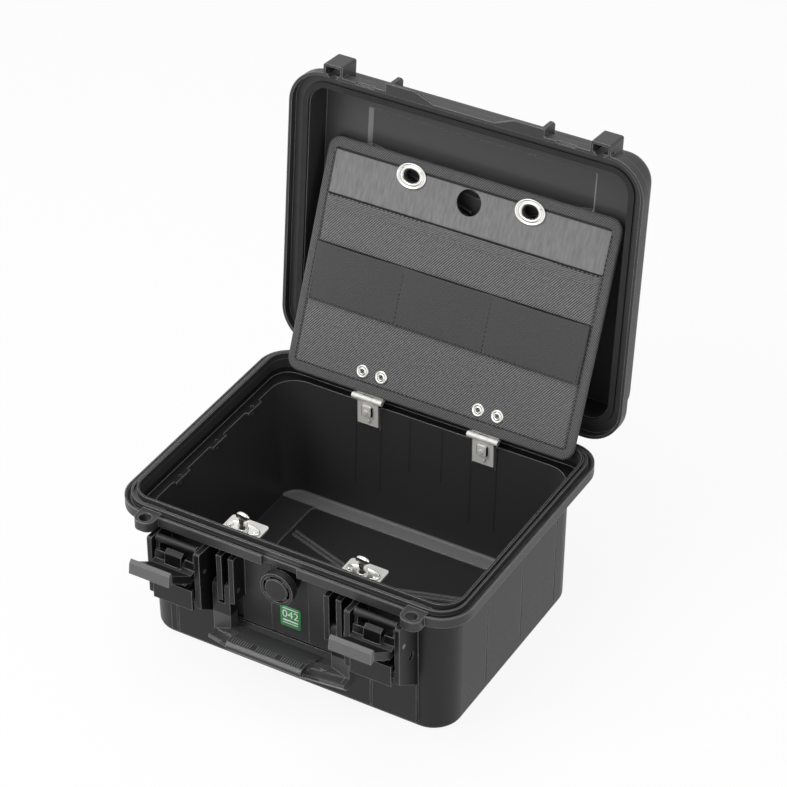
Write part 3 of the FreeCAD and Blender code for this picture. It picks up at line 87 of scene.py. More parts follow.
# grid of points to quads, or several such grids; a closed direction joins its last line to its first
def surface(name, points, closeRows=False, closeColumns=False, uv=None, solid=False):
    points = points.reshape((-1,) + points.shape[-3:])
    index = np.arange(points[..., 0].size).reshape(points.shape[:3])
    right = np.roll(index, -1, 2)
    quads = np.stack([index, right, np.roll(right, -1, 1), np.roll(index, -1, 1)], -1)
    quads = quads if closeRows else quads[:, :-1]
    quads = quads if closeColumns else quads[:, :, :-1]
    mesh = bpy.data.meshes.new(name)
    mesh.from_pydata(points.reshape(-1, 3).tolist(), [], quads.reshape(-1, 4).tolist())
    if uv is not None:
        corners = np.stack([uv[:-1, :-1], uv[:-1, 1:], uv[1:, 1:], uv[1:, :-1]], 2)
        layer = mesh.uv_layers.new(name="span")
        layer.data.foreach_set("uv", corners.astype(np.float32).ravel())
    if solid:
        closeUp(mesh)
    mesh.polygons.foreach_set("use_smooth", np.ones(len(mesh.polygons), bool))
    mesh.update()
    piece = bpy.data.objects.new(name, mesh)
    bpy.context.scene.collection.objects.link(piece)
    return piece


def thicken(piece, thickness, offset):
    wall = piece.modifiers.new("wall", "SOLIDIFY")
    wall.thickness = thickness
    wall.offset = offset
    wall.use_even_offset = True


# materials

# the part of a noise texture's range that most of its values fall in
noiseSpan = {"From Min": 0.3, "From Max": 0.7}


# share of a point in a box with limits in mm, 1 inside and 0 outside
def inBox(tree, spot, limits):
    share = None
    for axis, (low, high) in limits.items():
        above = addNode(tree, "ShaderNodeMath", {"operation": "GREATER_THAN"}, {0: spot[axis], 1: low * mm})
        below = addNode(tree, "ShaderNodeMath", {"operation": "LESS_THAN"}, {0: spot[axis], 1: high * mm})
        both = addNode(tree, "ShaderNodeMath", {"operation": "MULTIPLY"}, {0: above.outputs[0], 1: below.outputs[0]})
        if share is not None:
            both = addNode(tree, "ShaderNodeMath", {"operation": "MULTIPLY"}, {0: both.outputs[0], 1: share})
        share = both.outputs[0]
    return share


# one colour zone: its shade, its roughness and the box that it fills; most zones paint light and shade
def colourZone(colour, rough, **box):
    return {"box": box, "colour": colour, "rough": rough}


# what zones are measured by: x out from the middle plane, y and z as in the CAD; past is how far a point lies outside
# the tub's rounded core with the walls' draft taken off; shutDeep and shut are y and z with the lid swung shut
def mouldPlaces(tree, place, look):
    split = addNode(tree, "ShaderNodeSeparateXYZ", None, {0: place.outputs["Object"]})
    across = addNode(tree, "ShaderNodeMath", {"operation": "ABSOLUTE"}, {0: split.outputs["X"]})
    along = addNode(tree, "ShaderNodeMath", {"operation": "ABSOLUTE"}, {0: split.outputs["Y"]})
    lean = addNode(tree, "ShaderNodeMath", {"operation": "MULTIPLY"}, {0: split.outputs["Z"], 1: look["draft"]})
    wide = addNode(tree, "ShaderNodeMath", {"operation": "SUBTRACT"}, {0: across.outputs[0], 1: lean.outputs[0]})
    deep = addNode(tree, "ShaderNodeMath", {"operation": "SUBTRACT"}, {0: along.outputs[0], 1: lean.outputs[0]})
    past = addNode(tree, "ShaderNodeCombineXYZ", None, {"X": wide.outputs[0], "Y": deep.outputs[0]})
    past = addNode(tree, "ShaderNodeVectorMath", {"operation": "SUBTRACT"}, {0: past.outputs[0],
                   1: [c * mm for c in look["core"]]})
    past = addNode(tree, "ShaderNodeVectorMath", {"operation": "MAXIMUM"}, {0: past.outputs[0], 1: (0, 0, 0)})
    past = addNode(tree, "ShaderNodeVectorMath", {"operation": "LENGTH"}, {0: past.outputs[0]})
    shut = addNode(tree, "ShaderNodeVectorRotate", {"rotation_type": "X_AXIS"}, {"Vector": place.outputs["Object"],
                   "Center": [c * mm for c in look["hinge"]], "Angle": math.radians(look["open"])})
    shut = addNode(tree, "ShaderNodeSeparateXYZ", None, {0: shut.outputs["Vector"]})
    return {"x": across.outputs[0], "y": split.outputs["Y"], "z": split.outputs["Z"], "past": past.outputs["Value"],
            "shutDeep": shut.outputs["Y"], "shut": shut.outputs["Z"]}


# polypropylene, injection moulded with a fine spark texture: near-black with a soft grey sheen; every edge is painted
# paler, a painted highlight with some rubbed wear; zones are boxes painted lighter or darker as painted light and
# shade, one of them also a polished part of the mould; the edge paint starts and is full at these cosines of an edge's
# turn
def mouldedPolypropylene(name, look, zones=()):
    wearAndSheen = {"polish": 0.04, "dull": 0.06, "start": 0.97, "full": 0.8, "deep": 0.2}
    material, tree, shader, place = newMaterial(name)
    grain = addNode(tree, "ShaderNodeTexNoise", None, {"Vector": place.outputs["Object"],
                    "Scale": 1 / (look["grain"] * mm), "Detail": 4.0, "Roughness": 0.6})
    flow = addNode(tree, "ShaderNodeMapping", None, {"Vector": place.outputs["Object"],
                   "Scale": (1, 1, look["streak"])})
    cloud = addNode(tree, "ShaderNodeTexNoise", None, {"Vector": flow.outputs["Vector"],
                    "Scale": 1 / (look["cloud"] * mm), "Detail": 3.0})
    shade = addNode(tree, "ShaderNodeMix", {"data_type": "RGBA"}, {0: cloud.outputs["Fac"],
                    6: linear(look["dark"]), 7: linear(look["pale"])}).outputs[2]
    gloss = addNode(tree, "ShaderNodeMapRange", None, {"Value": grain.outputs["Fac"], **noiseSpan,
                    "To Min": look["rough"] - wearAndSheen["polish"], "To Max": look["rough"] + wearAndSheen["dull"]}).outputs["Result"]
    spot = mouldPlaces(tree, place, look) if zones else {}
    for zone in zones:
        share = inBox(tree, spot, zone["box"])
        shade = addNode(tree, "ShaderNodeMix", {"data_type": "RGBA"}, {0: share, 6: shade,
                        7: linear(zone["colour"])}).outputs[2]
        gloss = addNode(tree, "ShaderNodeMix", None, {0: share, 2: gloss, 3: zone["rough"]}).outputs[0]
    soft = addNode(tree, "ShaderNodeBevel", {"samples": 4}, {"Radius": look["edge"] * mm})
    flat = addNode(tree, "ShaderNodeNewGeometry")
    turn = addNode(tree, "ShaderNodeVectorMath", {"operation": "DOT_PRODUCT"},
                   {0: soft.outputs["Normal"], 1: flat.outputs["Normal"]})
    # paler edges: a painted highlight along every edge, with some rubbed wear
    edgeSheen = addNode(tree, "ShaderNodeMapRange", None, {"Value": turn.outputs["Value"], "From Min": wearAndSheen["start"],
                     "From Max": wearAndSheen["full"], "To Min": 0.0, "To Max": look["wearAndSheen"]})
    sheened = addNode(tree, "ShaderNodeMix", {"data_type": "RGBA"}, {0: edgeSheen.outputs["Result"], 6: shade,
                   7: linear(look["edgeSheen"])})
    bump = addNode(tree, "ShaderNodeBump", None, {"Height": grain.outputs["Fac"], "Strength": look["bump"],
                   "Distance": wearAndSheen["deep"] * mm, "Normal": soft.outputs["Normal"]})
    tree.links.new(sheened.outputs[2], shader.inputs["Base Color"])
    tree.links.new(gloss, shader.inputs["Roughness"])
    tree.links.new(bump.outputs["Normal"], shader.inputs["Normal"])
    shader.inputs["IOR"].default_value = 1.49
    shader.inputs["Specular IOR Level"].default_value = look["shine"]
    return material


# rubber, extruded or moulded: flat black with a faint bloom; where heights are given, the rib tops are painted paler by
# height instead, a painted highlight
def mouldedRubber(name, look, litTops=None):
    material, tree, shader, place = newMaterial(name)
    grain = addNode(tree, "ShaderNodeTexNoise", None, {"Vector": place.outputs["Object"],
                    "Scale": 1 / (look["grain"] * mm), "Detail": 3.0})
    # painted highlight on the rib tops and painted shade in the valleys, by height
    if litTops:
        split = addNode(tree, "ShaderNodeSeparateXYZ", None, {0: place.outputs["Object"]})
        bloomAndTopSheen = addNode(tree, "ShaderNodeMapRange", None, {"Value": split.outputs["Z"], "From Min": litTops[0] * mm,
                        "From Max": litTops[1] * mm}).outputs["Result"]
    else:
        bloomAndTopSheen = addNode(tree, "ShaderNodeTexNoise", None, {"Vector": place.outputs["Object"],
                        "Scale": 1 / (look["bloomAndTopSheen"] * mm), "Detail": 3.0}).outputs["Fac"]
    shade = addNode(tree, "ShaderNodeMix", {"data_type": "RGBA"}, {0: bloomAndTopSheen, 6: linear(look["dark"]),
                    7: linear(look["pale"])})
    bump = addNode(tree, "ShaderNodeBump", None, {"Height": grain.outputs["Fac"], "Strength": look["bump"],
                   "Distance": look["deep"] * mm})
    gloss = addNode(tree, "ShaderNodeMapRange", None, {"Value": grain.outputs["Fac"], "To Min": look["smooth"],
                    "To Max": look["dull"]})
    tree.links.new(shade.outputs[2], shader.inputs["Base Color"])
    tree.links.new(bump.outputs["Normal"], shader.inputs["Normal"])
    tree.links.new(gloss.outputs["Result"], shader.inputs["Roughness"])
    shader.inputs["Specular IOR Level"].default_value = look["shine"]
    return material


# steel, nickel plated: pale, mirror-like where bright and soft where matt, satin or brushed, with faint stains that
# dull the shine; pressed edges are softened where an edge size is given
def nickelPlate(name, look):
    wearAndSheen = {"polish": 0.05, "dull": 0.08}
    material, tree, shader, place = newMaterial(name)
    stain = addNode(tree, "ShaderNodeTexNoise", None, {"Vector": place.outputs["Object"],
                    "Scale": 1 / (look["stain"] * mm), "Detail": 3.0})
    shade = addNode(tree, "ShaderNodeMix", {"data_type": "RGBA"}, {0: stain.outputs["Fac"], 6: linear(look["dark"]),
                    7: linear(look["pale"])})
    gloss = addNode(tree, "ShaderNodeMapRange", None, {"Value": stain.outputs["Fac"],
                    "To Min": look["rough"] - wearAndSheen["polish"], "To Max": look["rough"] + wearAndSheen["dull"]})
    if look["edge"]:
        soft = addNode(tree, "ShaderNodeBevel", {"samples": 6}, {"Radius": look["edge"] * mm})
        tree.links.new(soft.outputs["Normal"], shader.inputs["Normal"])
    tree.links.new(shade.outputs[2], shader.inputs["Base Color"])
    tree.links.new(gloss.outputs["Result"], shader.inputs["Roughness"])
    shader.inputs["Metallic"].default_value = look["metal"]
    return material


# a wave texture repeats every pi / 10 over its scale
def waveScale(pitch):
    return math.pi / 10 / (pitch * mm)


# polyester cloth, twill woven: dark threads with paler diagonal ribs; the 0.7 mm rib is drawn coarser so that it shows,
# above the hem line the folded edge shows the plain back of the weave, and shadow bands are painted near-black: painted
# shadow in the pocket mouths and along the cloth's top edge
def wovenTwill(name, look):
    fibre = {"fuzz": 3, "thin": 0.75, "thick": 1.15, "bump": 0.4, "rough": 0.9, "sheen": 0.1}
    material, tree, shader, place = newMaterial(name)
    turned = addNode(tree, "ShaderNodeMapping", None, {"Vector": place.outputs["UV"],
                     "Rotation": (0, 0, math.radians(look["slant"]))})
    ribs = addNode(tree, "ShaderNodeTexWave", {"wave_type": "BANDS", "bands_direction": "X"},
                   {"Vector": turned.outputs["Vector"], "Scale": waveScale(look["rib"]), "Distortion": 1.0,
                    "Detail": 2.0, "Detail Scale": 2.0})
    picks = addNode(tree, "ShaderNodeTexWave", {"wave_type": "BANDS", "bands_direction": "Y"},
                    {"Vector": place.outputs["UV"], "Scale": waveScale(look["pick"]), "Distortion": 2.0,
                     "Detail": 2.0, "Detail Scale": 2.0})
    fuzz = addNode(tree, "ShaderNodeTexNoise", None, {"Vector": place.outputs["UV"],
                   "Scale": 1 / (fibre["fuzz"] * mm), "Detail": 4.0})
    split = addNode(tree, "ShaderNodeSeparateXYZ", None, {0: place.outputs["UV"]})
    hem = addNode(tree, "ShaderNodeMath", {"operation": "GREATER_THAN"}, {0: split.outputs["Y"],
                  1: look["hem"] * mm})
    weave = addNode(tree, "ShaderNodeMix", None, {0: hem.outputs[0], 2: ribs.outputs["Fac"], 3: picks.outputs["Fac"]})
    thread = addNode(tree, "ShaderNodeMapRange", None, {"Value": fuzz.outputs["Fac"], **noiseSpan,
                     "To Min": fibre["thin"], "To Max": fibre["thick"]})
    blend = addNode(tree, "ShaderNodeMath", {"operation": "MULTIPLY"}, {0: weave.outputs[0],
                    1: thread.outputs["Result"]})
    shade = addNode(tree, "ShaderNodeMix", {"data_type": "RGBA"}, {0: blend.outputs[0], 6: linear(look["dark"]),
                    7: linear(look["pale"])})
    # painted shadow: near-black bands where the pocket mouths and the top edge lie in shade
    for shadowSpan in look["shadowBands"]:
        share = inBox(tree, {"v": split.outputs["Y"]}, {"v": shadowSpan})
        shade = addNode(tree, "ShaderNodeMix", {"data_type": "RGBA"}, {0: share, 6: shade.outputs[2],
                        7: linear(look["inside"])})
    bump = addNode(tree, "ShaderNodeBump", None, {"Height": weave.outputs[0], "Strength": fibre["bump"],
                   "Distance": look["deep"] * mm})
    tree.links.new(shade.outputs[2], shader.inputs["Base Color"])
    tree.links.new(bump.outputs["Normal"], shader.inputs["Normal"])
    shader.inputs["Roughness"].default_value = fibre["rough"]
    shader.inputs["Sheen Weight"].default_value = fibre["sheen"]
    return material


# PVC sheet, calendered with fine upright ribs: even mid grey
def calenderedSheet():
    look = {"dark": "#626262", "pale": "#8c8c8c", "rib": 2.4, "stretch": 0.2, "bump": 0.2, "deep": 0.3, "rough": 0.7}
    material, tree, shader, place = newMaterial("calendered grey sheet")
    stretch = addNode(tree, "ShaderNodeMapping", None, {"Vector": place.outputs["Object"],
                      "Scale": (1, look["stretch"], look["stretch"])})
    ribs = addNode(tree, "ShaderNodeTexNoise", None, {"Vector": stretch.outputs["Vector"],
                   "Scale": 1 / (look["rib"] * mm), "Detail": 2.0})
    shade = addNode(tree, "ShaderNodeMix", {"data_type": "RGBA"}, {0: ribs.outputs["Fac"], 6: linear(look["dark"]),
                    7: linear(look["pale"])})
    bump = addNode(tree, "ShaderNodeBump", None, {"Height": ribs.outputs["Fac"], "Strength": look["bump"],
                   "Distance": look["deep"] * mm})
    tree.links.new(shade.outputs[2], shader.inputs["Base Color"])
    tree.links.new(bump.outputs["Normal"], shader.inputs["Normal"])
    shader.inputs["Roughness"].default_value = look["rough"]
    return material


# polyester film, printed: even colour under a thin satin coat, mottled a little by the ink
def printedFilm(name, dark, pale):
    coat = {"mottle": 2.5, "rough": 0.45}
    material, tree, shader, place = newMaterial(name)
    ink = addNode(tree, "ShaderNodeTexNoise", None, {"Vector": place.outputs["Object"],
                  "Scale": 1 / (coat["mottle"] * mm), "Detail": 3.0})
    shade = addNode(tree, "ShaderNodeMix", {"data_type": "RGBA"}, {0: ink.outputs["Fac"], 6: linear(dark),
                    7: linear(pale)})
    tree.links.new(shade.outputs[2], shader.inputs["Base Color"])
    shader.inputs["Roughness"].default_value = coat["rough"]
    return material


shellLook = {"dark": "#101011", "pale": "#181819", "edgeSheen": "#a4a4a4", "grain": 1.6, "cloud": 60, "streak": 1.0,
             "rough": 0.4, "bump": 0.06, "edge": 1.1, "wearAndSheen": 1.0, "draft": 0.0542, "core": (129.3, 94.3, 0),
             "shine": 0.34, "hinge": (0, 147.5, 141.6), "open": 95.73}
# in order, painted light and shade: rim lightened and its painted bright line, inner walls lightened, three painted
# shade lines on the rear wall, floor by the walls lightened, polished middle of the floor lightened less, painted
# highlights on the rib tops, on the front ribs' tops and on the floor's rear margin, the front recess lightened
tubZones = (colourZone("#363637", 0.4, past=(20.5, 60), z=(137, 153)),
            colourZone("#646465", 0.4, past=(18.7, 60), z=(146.6, 147.3)),
            colourZone("#363637", 0.36, past=(-1, 18.6), z=(6.4, 130.6)),
            colourZone("#2a2a2b", 0.36, past=(-1, 18.6), x=(16.4, 17.9), y=(111, 122), z=(70, 129)),
            colourZone("#272728", 0.36, past=(-1, 18.6), x=(47.4, 48.7), y=(111, 122), z=(36, 129)),
            colourZone("#272728", 0.36, past=(-1, 18.6), x=(74.2, 75.6), y=(111, 122), z=(36, 129)),
            colourZone("#303031", 0.36, past=(-1, 18.6), z=(1.4, 6.4)),
            colourZone("#262627", 0.3, x=(-1, 113.2), y=(-97.8, 97.8), z=(1.4, 3.6)),
            colourZone("#4c4c4d", 0.3, x=(-1, 112), y=(-96.5, 96.5), z=(3.7, 4.3)),
            colourZone("#8e8e8f", 0.3, x=(-1, 112), y=(-96.5, 0), z=(3.7, 4.3)),
            colourZone("#727273", 0.5, x=(-1, 149), y=(97.4, 113), z=(1.4, 6.4)),
            colourZone("#3a3a3b", 0.45, x=(-1, 56), y=(-126, -119), z=(53, 132)))
# the ceiling panel lightened with painted light, and painted highlights as bright lines near its ends
lidZones = (colourZone("#474748", 0.36, x=(-1, 161.5), shutDeep=(-124.5, 124.5), shut=(186.2, 190.9)),
            colourZone("#a2a2a3", 0.3, x=(113.9, 117.4), shutDeep=(-105, 105), shut=(186.6, 190.4)))
# painted light: the web between the arms and the grip's top lightened, and a painted highlight on the grip's front
# slope
handleZones = (colourZone("#4d4d4e", 0.42, x=(-1, 72), y=(-160.4, -126), z=(34, 66)),
               colourZone("#343435", 0.42, x=(-1, 40), y=(-167.2, -160.4), z=(60, 66)),
               colourZone("#5c5c5d", 0.4, x=(-1, 40), y=(-173, -167.2), z=(60, 66)))
# the lever's finger lip lightened: a painted reflection of the bright floor
leverZones = (colourZone("#5e5e5e", 0.45, x=(60, 140), y=(-195, -185.5), z=(90, 140)),)
tubPlastic = mouldedPolypropylene("moulded polypropylene tub", {**shellLook, "cloud": 30, "streak": 0.12}, tubZones)
# the lid is a paler copy of the tub's plastic: painted light
lidPlastic = mouldedPolypropylene("moulded polypropylene lid", {**shellLook, "dark": "#313132", "pale": "#3d3d3e"},
                                  lidZones)
shellPlastic = mouldedPolypropylene("moulded polypropylene", {**shellLook, "dark": "#1d1d1e", "pale": "#262627"})
leverPlastic = mouldedPolypropylene("moulded polypropylene lever", shellLook, leverZones)
handlePlastic = mouldedPolypropylene("moulded polypropylene handle", shellLook, handleZones)
valvePlastic = mouldedPolypropylene("moulded nylon", {**shellLook, "dark": "#1c1c1d", "pale": "#2b2b2c", "cloud": 4,
                                    "rough": 0.5, "bump": 0.2})
rubberLook = {"dark": "#161617", "pale": "#262627", "grain": 0.9, "bloomAndTopSheen": 14, "shine": 0.4, "bump": 0.08,
              "deep": 0.1, "smooth": 0.6, "dull": 0.8}
rubber = mouldedRubber("moulded rubber", rubberLook)
# the rib tops are painted paler: painted highlight
gripRubber = mouldedRubber("ribbed grip rubber", {**rubberLook, "dark": "#0c0c0d", "pale": "#5c5c5d"}, (63.25, 63.85))
# near-black and all but shineless: the valve's membrane, and painted shadow in the leaf clips' side slots
blackFoamAndShadow = mouldedRubber("foamed rubber and painted shadow", {**rubberLook, "dark": "#020202", "pale": "#060606", "shine": 0.02})
mattNickel = nickelPlate("matt nickel plate", {"dark": "#cfcecb", "pale": "#dddcd9", "stain": 25, "rough": 0.4,
                         "edge": 0.4, "metal": 0.45})
brightNickel = nickelPlate("bright nickel plate", {"dark": "#dddcd8", "pale": "#efeeea", "stain": 12, "rough": 0.2,
                           "edge": 0, "metal": 1.0})
satinNickel = nickelPlate("satin nickel plate", {"dark": "#c9c8c4", "pale": "#dedcd8", "stain": 6, "rough": 0.28,
                          "edge": 0, "metal": 0.92})
leafNickel = nickelPlate("brushed nickel leaf", {"dark": "#d6d5d1", "pale": "#e9e7e3", "stain": 14, "rough": 0.45,
                         "edge": 0.3, "metal": 0.15})
pinSteel = nickelPlate("drawn steel", {"dark": "#8f8f8d", "pale": "#b9b9b7", "stain": 4, "rough": 0.32, "edge": 0.3,
                       "metal": 1.0})
# the pocket mouths and the top edge are painted shadow
pocketTwill = wovenTwill("polyester twill", {"dark": "#2c2c2d", "pale": "#868686", "rib": 1.9, "slant": 38,
                         "pick": 1.5, "hem": 163.5, "deep": 0.4, "shadowBands": ((112, 128.6), (174.0, 176)),
                         "inside": "#0b0b0c"})
stripWeave = wovenTwill("elastic webbing", {"dark": "#3e3e3f", "pale": "#4d4d4d", "rib": 1.6, "slant": 0,
                        "pick": 1.6, "hem": 0, "deep": 0.2, "shadowBands": ()})
bindingWeave = wovenTwill("binding tape weave", {"dark": "#323233", "pale": "#6f6f6f", "rib": 1.8, "slant": 35,
                          "pick": 2, "hem": 1000, "deep": 0.4, "shadowBands": ()})
seamThread = wovenTwill("spun polyester thread", {"dark": "#151516", "pale": "#2b2b2c", "rib": 1.2, "slant": 20,
                        "pick": 1.2, "hem": 1000, "deep": 0.2, "shadowBands": ()})
greySheet = calenderedSheet()
greenFilm = printedFilm("printed green film", "#3b8a4d", "#47985a")
whiteInk = printedFilm("printed white ink", "#e4e8e4", "#f2f4f2")
print("materials made")

finishes = {
    "base_shell": tubPlastic, "lid_shell": lidPlastic, "latch_lever_left": leverPlastic,
    "latch_lever_right": leverPlastic, "handle": handlePlastic, "valve_body": valvePlastic, "valve_cap": valvePlastic,
    "valve_nut": valvePlastic, "panel_board": shellPlastic, "lid_seal": rubber, "valve_seal": rubber,
    "panel_band": greySheet, "hinge_pins": pinSteel, "latch_pins": pinSteel,
    "handle_pins": pinSteel, "panel_pins": pinSteel, "leaf_screws": leafNickel, "bracket_screws": mattNickel,
    "base_leaves": leafNickel, "panel_leaves": leafNickel, "front_brackets": mattNickel,
    "button_rivets": brightNickel,
}
for node, material in finishes.items():
    dress(nodes[node], material)

# tool panel, measured across its face (u), up its face (v) and out from it (w)
panelFrame = {"foot": (117, 143), "lean": 22.8, "half": 151.5, "long": 228}
# eyelets, studs and hinge leaves stand in line across the case; the studs stand at one depth
fittings = {"x": 61.3, "studY": -101.0}


# a point on the panel: its foot, plus v along the leaning face, plus w along the face's normal
def onPanel(u, v, w):
    lean = math.radians(panelFrame["lean"])
    y = panelFrame["foot"][0] + v * math.sin(lean) - w * math.cos(lean)
    z = panelFrame["foot"][1] + v * math.cos(lean) + w * math.sin(lean)
    u, y, z = np.broadcast_arrays(u, y, z)
    return np.stack([u, y, z], -1) * mm


# pocket cloth: a flat sheet that stands off a little between its sewn edges, highest near its open top
def pocketCloth():
    cut = {"half": 141.7, "low": 9.8, "high": 175.0, "off": 0.2, "swell": 1.6, "wave": 0.4, "pitch": (31, 23),
           "hem": 12.0, "step": 0.5, "thick": 0.8, "grid": (121, 81)}
    u, v = np.meshgrid(np.linspace(-cut["half"], cut["half"], cut["grid"][0]),
                       np.linspace(cut["low"], cut["high"], cut["grid"][1]))
    across = np.cos(u / cut["half"] * math.pi / 2)
    up = (v - cut["low"]) / (cut["high"] - cut["low"])
    w = cut["off"] + cut["swell"] * across ** 0.5 * up ** 2
    w = w + cut["wave"] * np.sin(u / cut["pitch"][0]) * np.sin(v / cut["pitch"][1])
    w = w + cut["step"] * (v > cut["high"] - cut["hem"])
    piece = surface("pocketCloth", onPanel(u, v, w), uv=np.stack([u, v], -1) * mm)
    thicken(piece, cut["thick"] * mm, 1)
    dress(piece, pocketTwill)
    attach(piece, "panel")
    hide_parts("pocket_cloth")


# tool strip: three pockets that bow out between upright stitch rows
def pocketStrip():
    cut = {"half": 141.7, "low": 72.0, "high": 128.0, "rows": (-141.7, -49.0, 43.0, 141.7), "off": 2.2, "bow": 3.2,
           "arch": 0.6, "rise": 0.7, "thick": 0.8, "grid": (241, 41)}
    u, v = np.meshgrid(np.linspace(-cut["half"], cut["half"], cut["grid"][0]),
                       np.linspace(cut["low"], cut["high"], cut["grid"][1]))
    cell = np.clip(np.searchsorted(cut["rows"], u) - 1, 0, len(cut["rows"]) - 2)
    start = np.array(cut["rows"])[cell]
    end = np.array(cut["rows"])[cell + 1]
    arch = np.sin(np.clip((u - start) / (end - start), 0, 1) * math.pi) ** cut["arch"]
    up = (v - cut["low"]) / (cut["high"] - cut["low"])
    w = cut["off"] + cut["bow"] * arch * up ** cut["rise"]
    piece = surface("pocketStrip", onPanel(u, v, w), uv=np.stack([u, v], -1) * mm)
    thicken(piece, cut["thick"] * mm, 1)
    dress(piece, stripWeave)
    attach(piece, "panel")
    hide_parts("pocket_strip")


# rounded rectangle as points: four quarter arcs about the corner centres, evenly spaced along the outline
def roundedPath(half, low, high, corner, count, steps=13):
    quarter = np.linspace(0, math.pi / 2, steps)
    centres = ((half - corner, high - corner, 0), (-half + corner, high - corner, 1),
               (-half + corner, low + corner, 2), (half - corner, low + corner, 3))
    ring = np.concatenate([np.stack([cu + corner * np.cos(quarter + k * math.pi / 2),
                                     cv + corner * np.sin(quarter + k * math.pi / 2)], -1) for cu, cv, k in centres])
    ring = np.concatenate([ring, ring[:1]])
    walk = np.concatenate([[0], np.cumsum(np.linalg.norm(np.diff(ring, axis=0), axis=1))])
    even = np.linspace(0, walk[-1], count + 1)
    path = np.stack([np.interp(even, walk, ring[:, 0]), np.interp(even, walk, ring[:, 1])], -1)
    return path[:-1], even


# binding: a folded tape, its U profile (arc round the edge, a leg on each face) carried round the panel's outline
def panelBinding():
    cut = {"wide": 9.6, "thick": 0.9, "front": 1.35, "rear": -4.0, "corner": 12.0, "inset": 2.7, "turns": 13,
           "legs": 5, "count": 420}
    path, along = roundedPath(panelFrame["half"] - cut["inset"], cut["inset"], panelFrame["long"] - cut["inset"],
                              cut["corner"] - cut["inset"], cut["count"])
    ahead = np.roll(path, -1, 0) - np.roll(path, 1, 0)
    outward = np.stack([ahead[:, 1], -ahead[:, 0]], -1)
    outward = outward / np.linalg.norm(outward, axis=1, keepdims=True)
    bend = np.linspace(-math.pi / 2, math.pi / 2, cut["turns"])
    middle = (cut["front"] + cut["rear"]) / 2
    reach = (cut["front"] - cut["rear"]) / 2
    leg = np.linspace(-cut["wide"] + cut["inset"], 0, cut["legs"] + 1)[:-1]
    out = np.concatenate([leg, reach * np.cos(bend), leg[::-1]])
    rise = np.concatenate([np.full(cut["legs"], cut["rear"]), middle + reach * np.sin(bend),
                           np.full(cut["legs"], cut["front"])])
    u = path[:, None, 0] + outward[:, None, 0] * out
    v = path[:, None, 1] + outward[:, None, 1] * out
    span = np.concatenate([[0], np.cumsum(np.hypot(np.diff(out), np.diff(rise)))])
    uv = np.stack(np.meshgrid(along, span, indexing="ij"), -1) * mm
    piece = surface("panelBinding", onPanel(u, v, np.broadcast_to(rise, u.shape)), closeRows=True, uv=uv)
    thicken(piece, cut["thick"] * mm, 1)
    dress(piece, bindingWeave)
    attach(piece, "panel")
    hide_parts("panel_binding")


# seam stitches: each a small spindle, an ellipse of thread turned about its length, set at even steps along the seams
def seamStitches():
    cut = {"pitch": 4.4, "long": 2.9, "wide": 1.0, "high": 0.7, "rings": 5, "sides": 6}
    edge = {"half": 143.1, "low": 11.2, "high": 216.8, "w": 2.3}
    strip = {"half": 140.0, "low": 73.4, "high": 126.0, "w": 3.1, "rows": (-139.6, -49.0, 43.0, 139.6)}
    hem = {"half": 141.0, "v": 173.4, "w": 2.4}
    seams = [((-edge["half"], edge["low"]), (edge["half"], edge["low"]), edge["w"]),
             ((-edge["half"], edge["high"]), (edge["half"], edge["high"]), edge["w"]),
             ((-edge["half"], edge["low"]), (-edge["half"], edge["high"]), edge["w"]),
             ((edge["half"], edge["low"]), (edge["half"], edge["high"]), edge["w"]),
             ((-strip["half"], strip["low"]), (strip["half"], strip["low"]), strip["w"])]
    seams += [((u, strip["low"]), (u, strip["high"]), strip["w"]) for u in strip["rows"]]
    seams += [((-hem["half"], hem["v"]), (hem["half"], hem["v"]), hem["w"])]
    spots, ways, heights = [], [], []
    for start, end, w in seams:
        start, end = np.array(start), np.array(end)
        run = np.linalg.norm(end - start)
        steps = (np.arange(int(run // cut["pitch"])) + 0.5) * cut["pitch"] / run
        spots.append(start + steps[:, None] * (end - start))
        ways.append(np.broadcast_to((end - start) / run, spots[-1].shape))
        heights.append(np.full(len(steps), w))
    spot, way, height = np.concatenate(spots), np.concatenate(ways), np.concatenate(heights)
    lift, turn = np.meshgrid(np.linspace(0, math.pi, cut["rings"]),
                             np.linspace(0, 2 * math.pi, cut["sides"], endpoint=False), indexing="ij")
    ahead = cut["long"] / 2 * np.cos(lift)
    aside = cut["wide"] / 2 * np.sin(lift) * np.cos(turn)
    u = spot[:, 0, None, None] + way[:, 0, None, None] * ahead - way[:, 1, None, None] * aside
    v = spot[:, 1, None, None] + way[:, 1, None, None] * ahead + way[:, 0, None, None] * aside
    w = height[:, None, None] + cut["high"] / 2 * np.sin(lift) * np.sin(turn)
    piece = surface("seamStitches", onPanel(u, v, w), closeColumns=True, solid=True)
    dress(piece, seamThread)
    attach(piece, "panel")


# a superellipse: cosine and sine each raised to a power with their sign kept
def ovalTurn(count, power):
    turn = np.linspace(0, 2 * math.pi, count, endpoint=False)
    return (np.sign(np.cos(turn)) * np.abs(np.cos(turn)) ** (2 / power),
            np.sign(np.sin(turn)) * np.abs(np.sin(turn)) ** (2 / power))


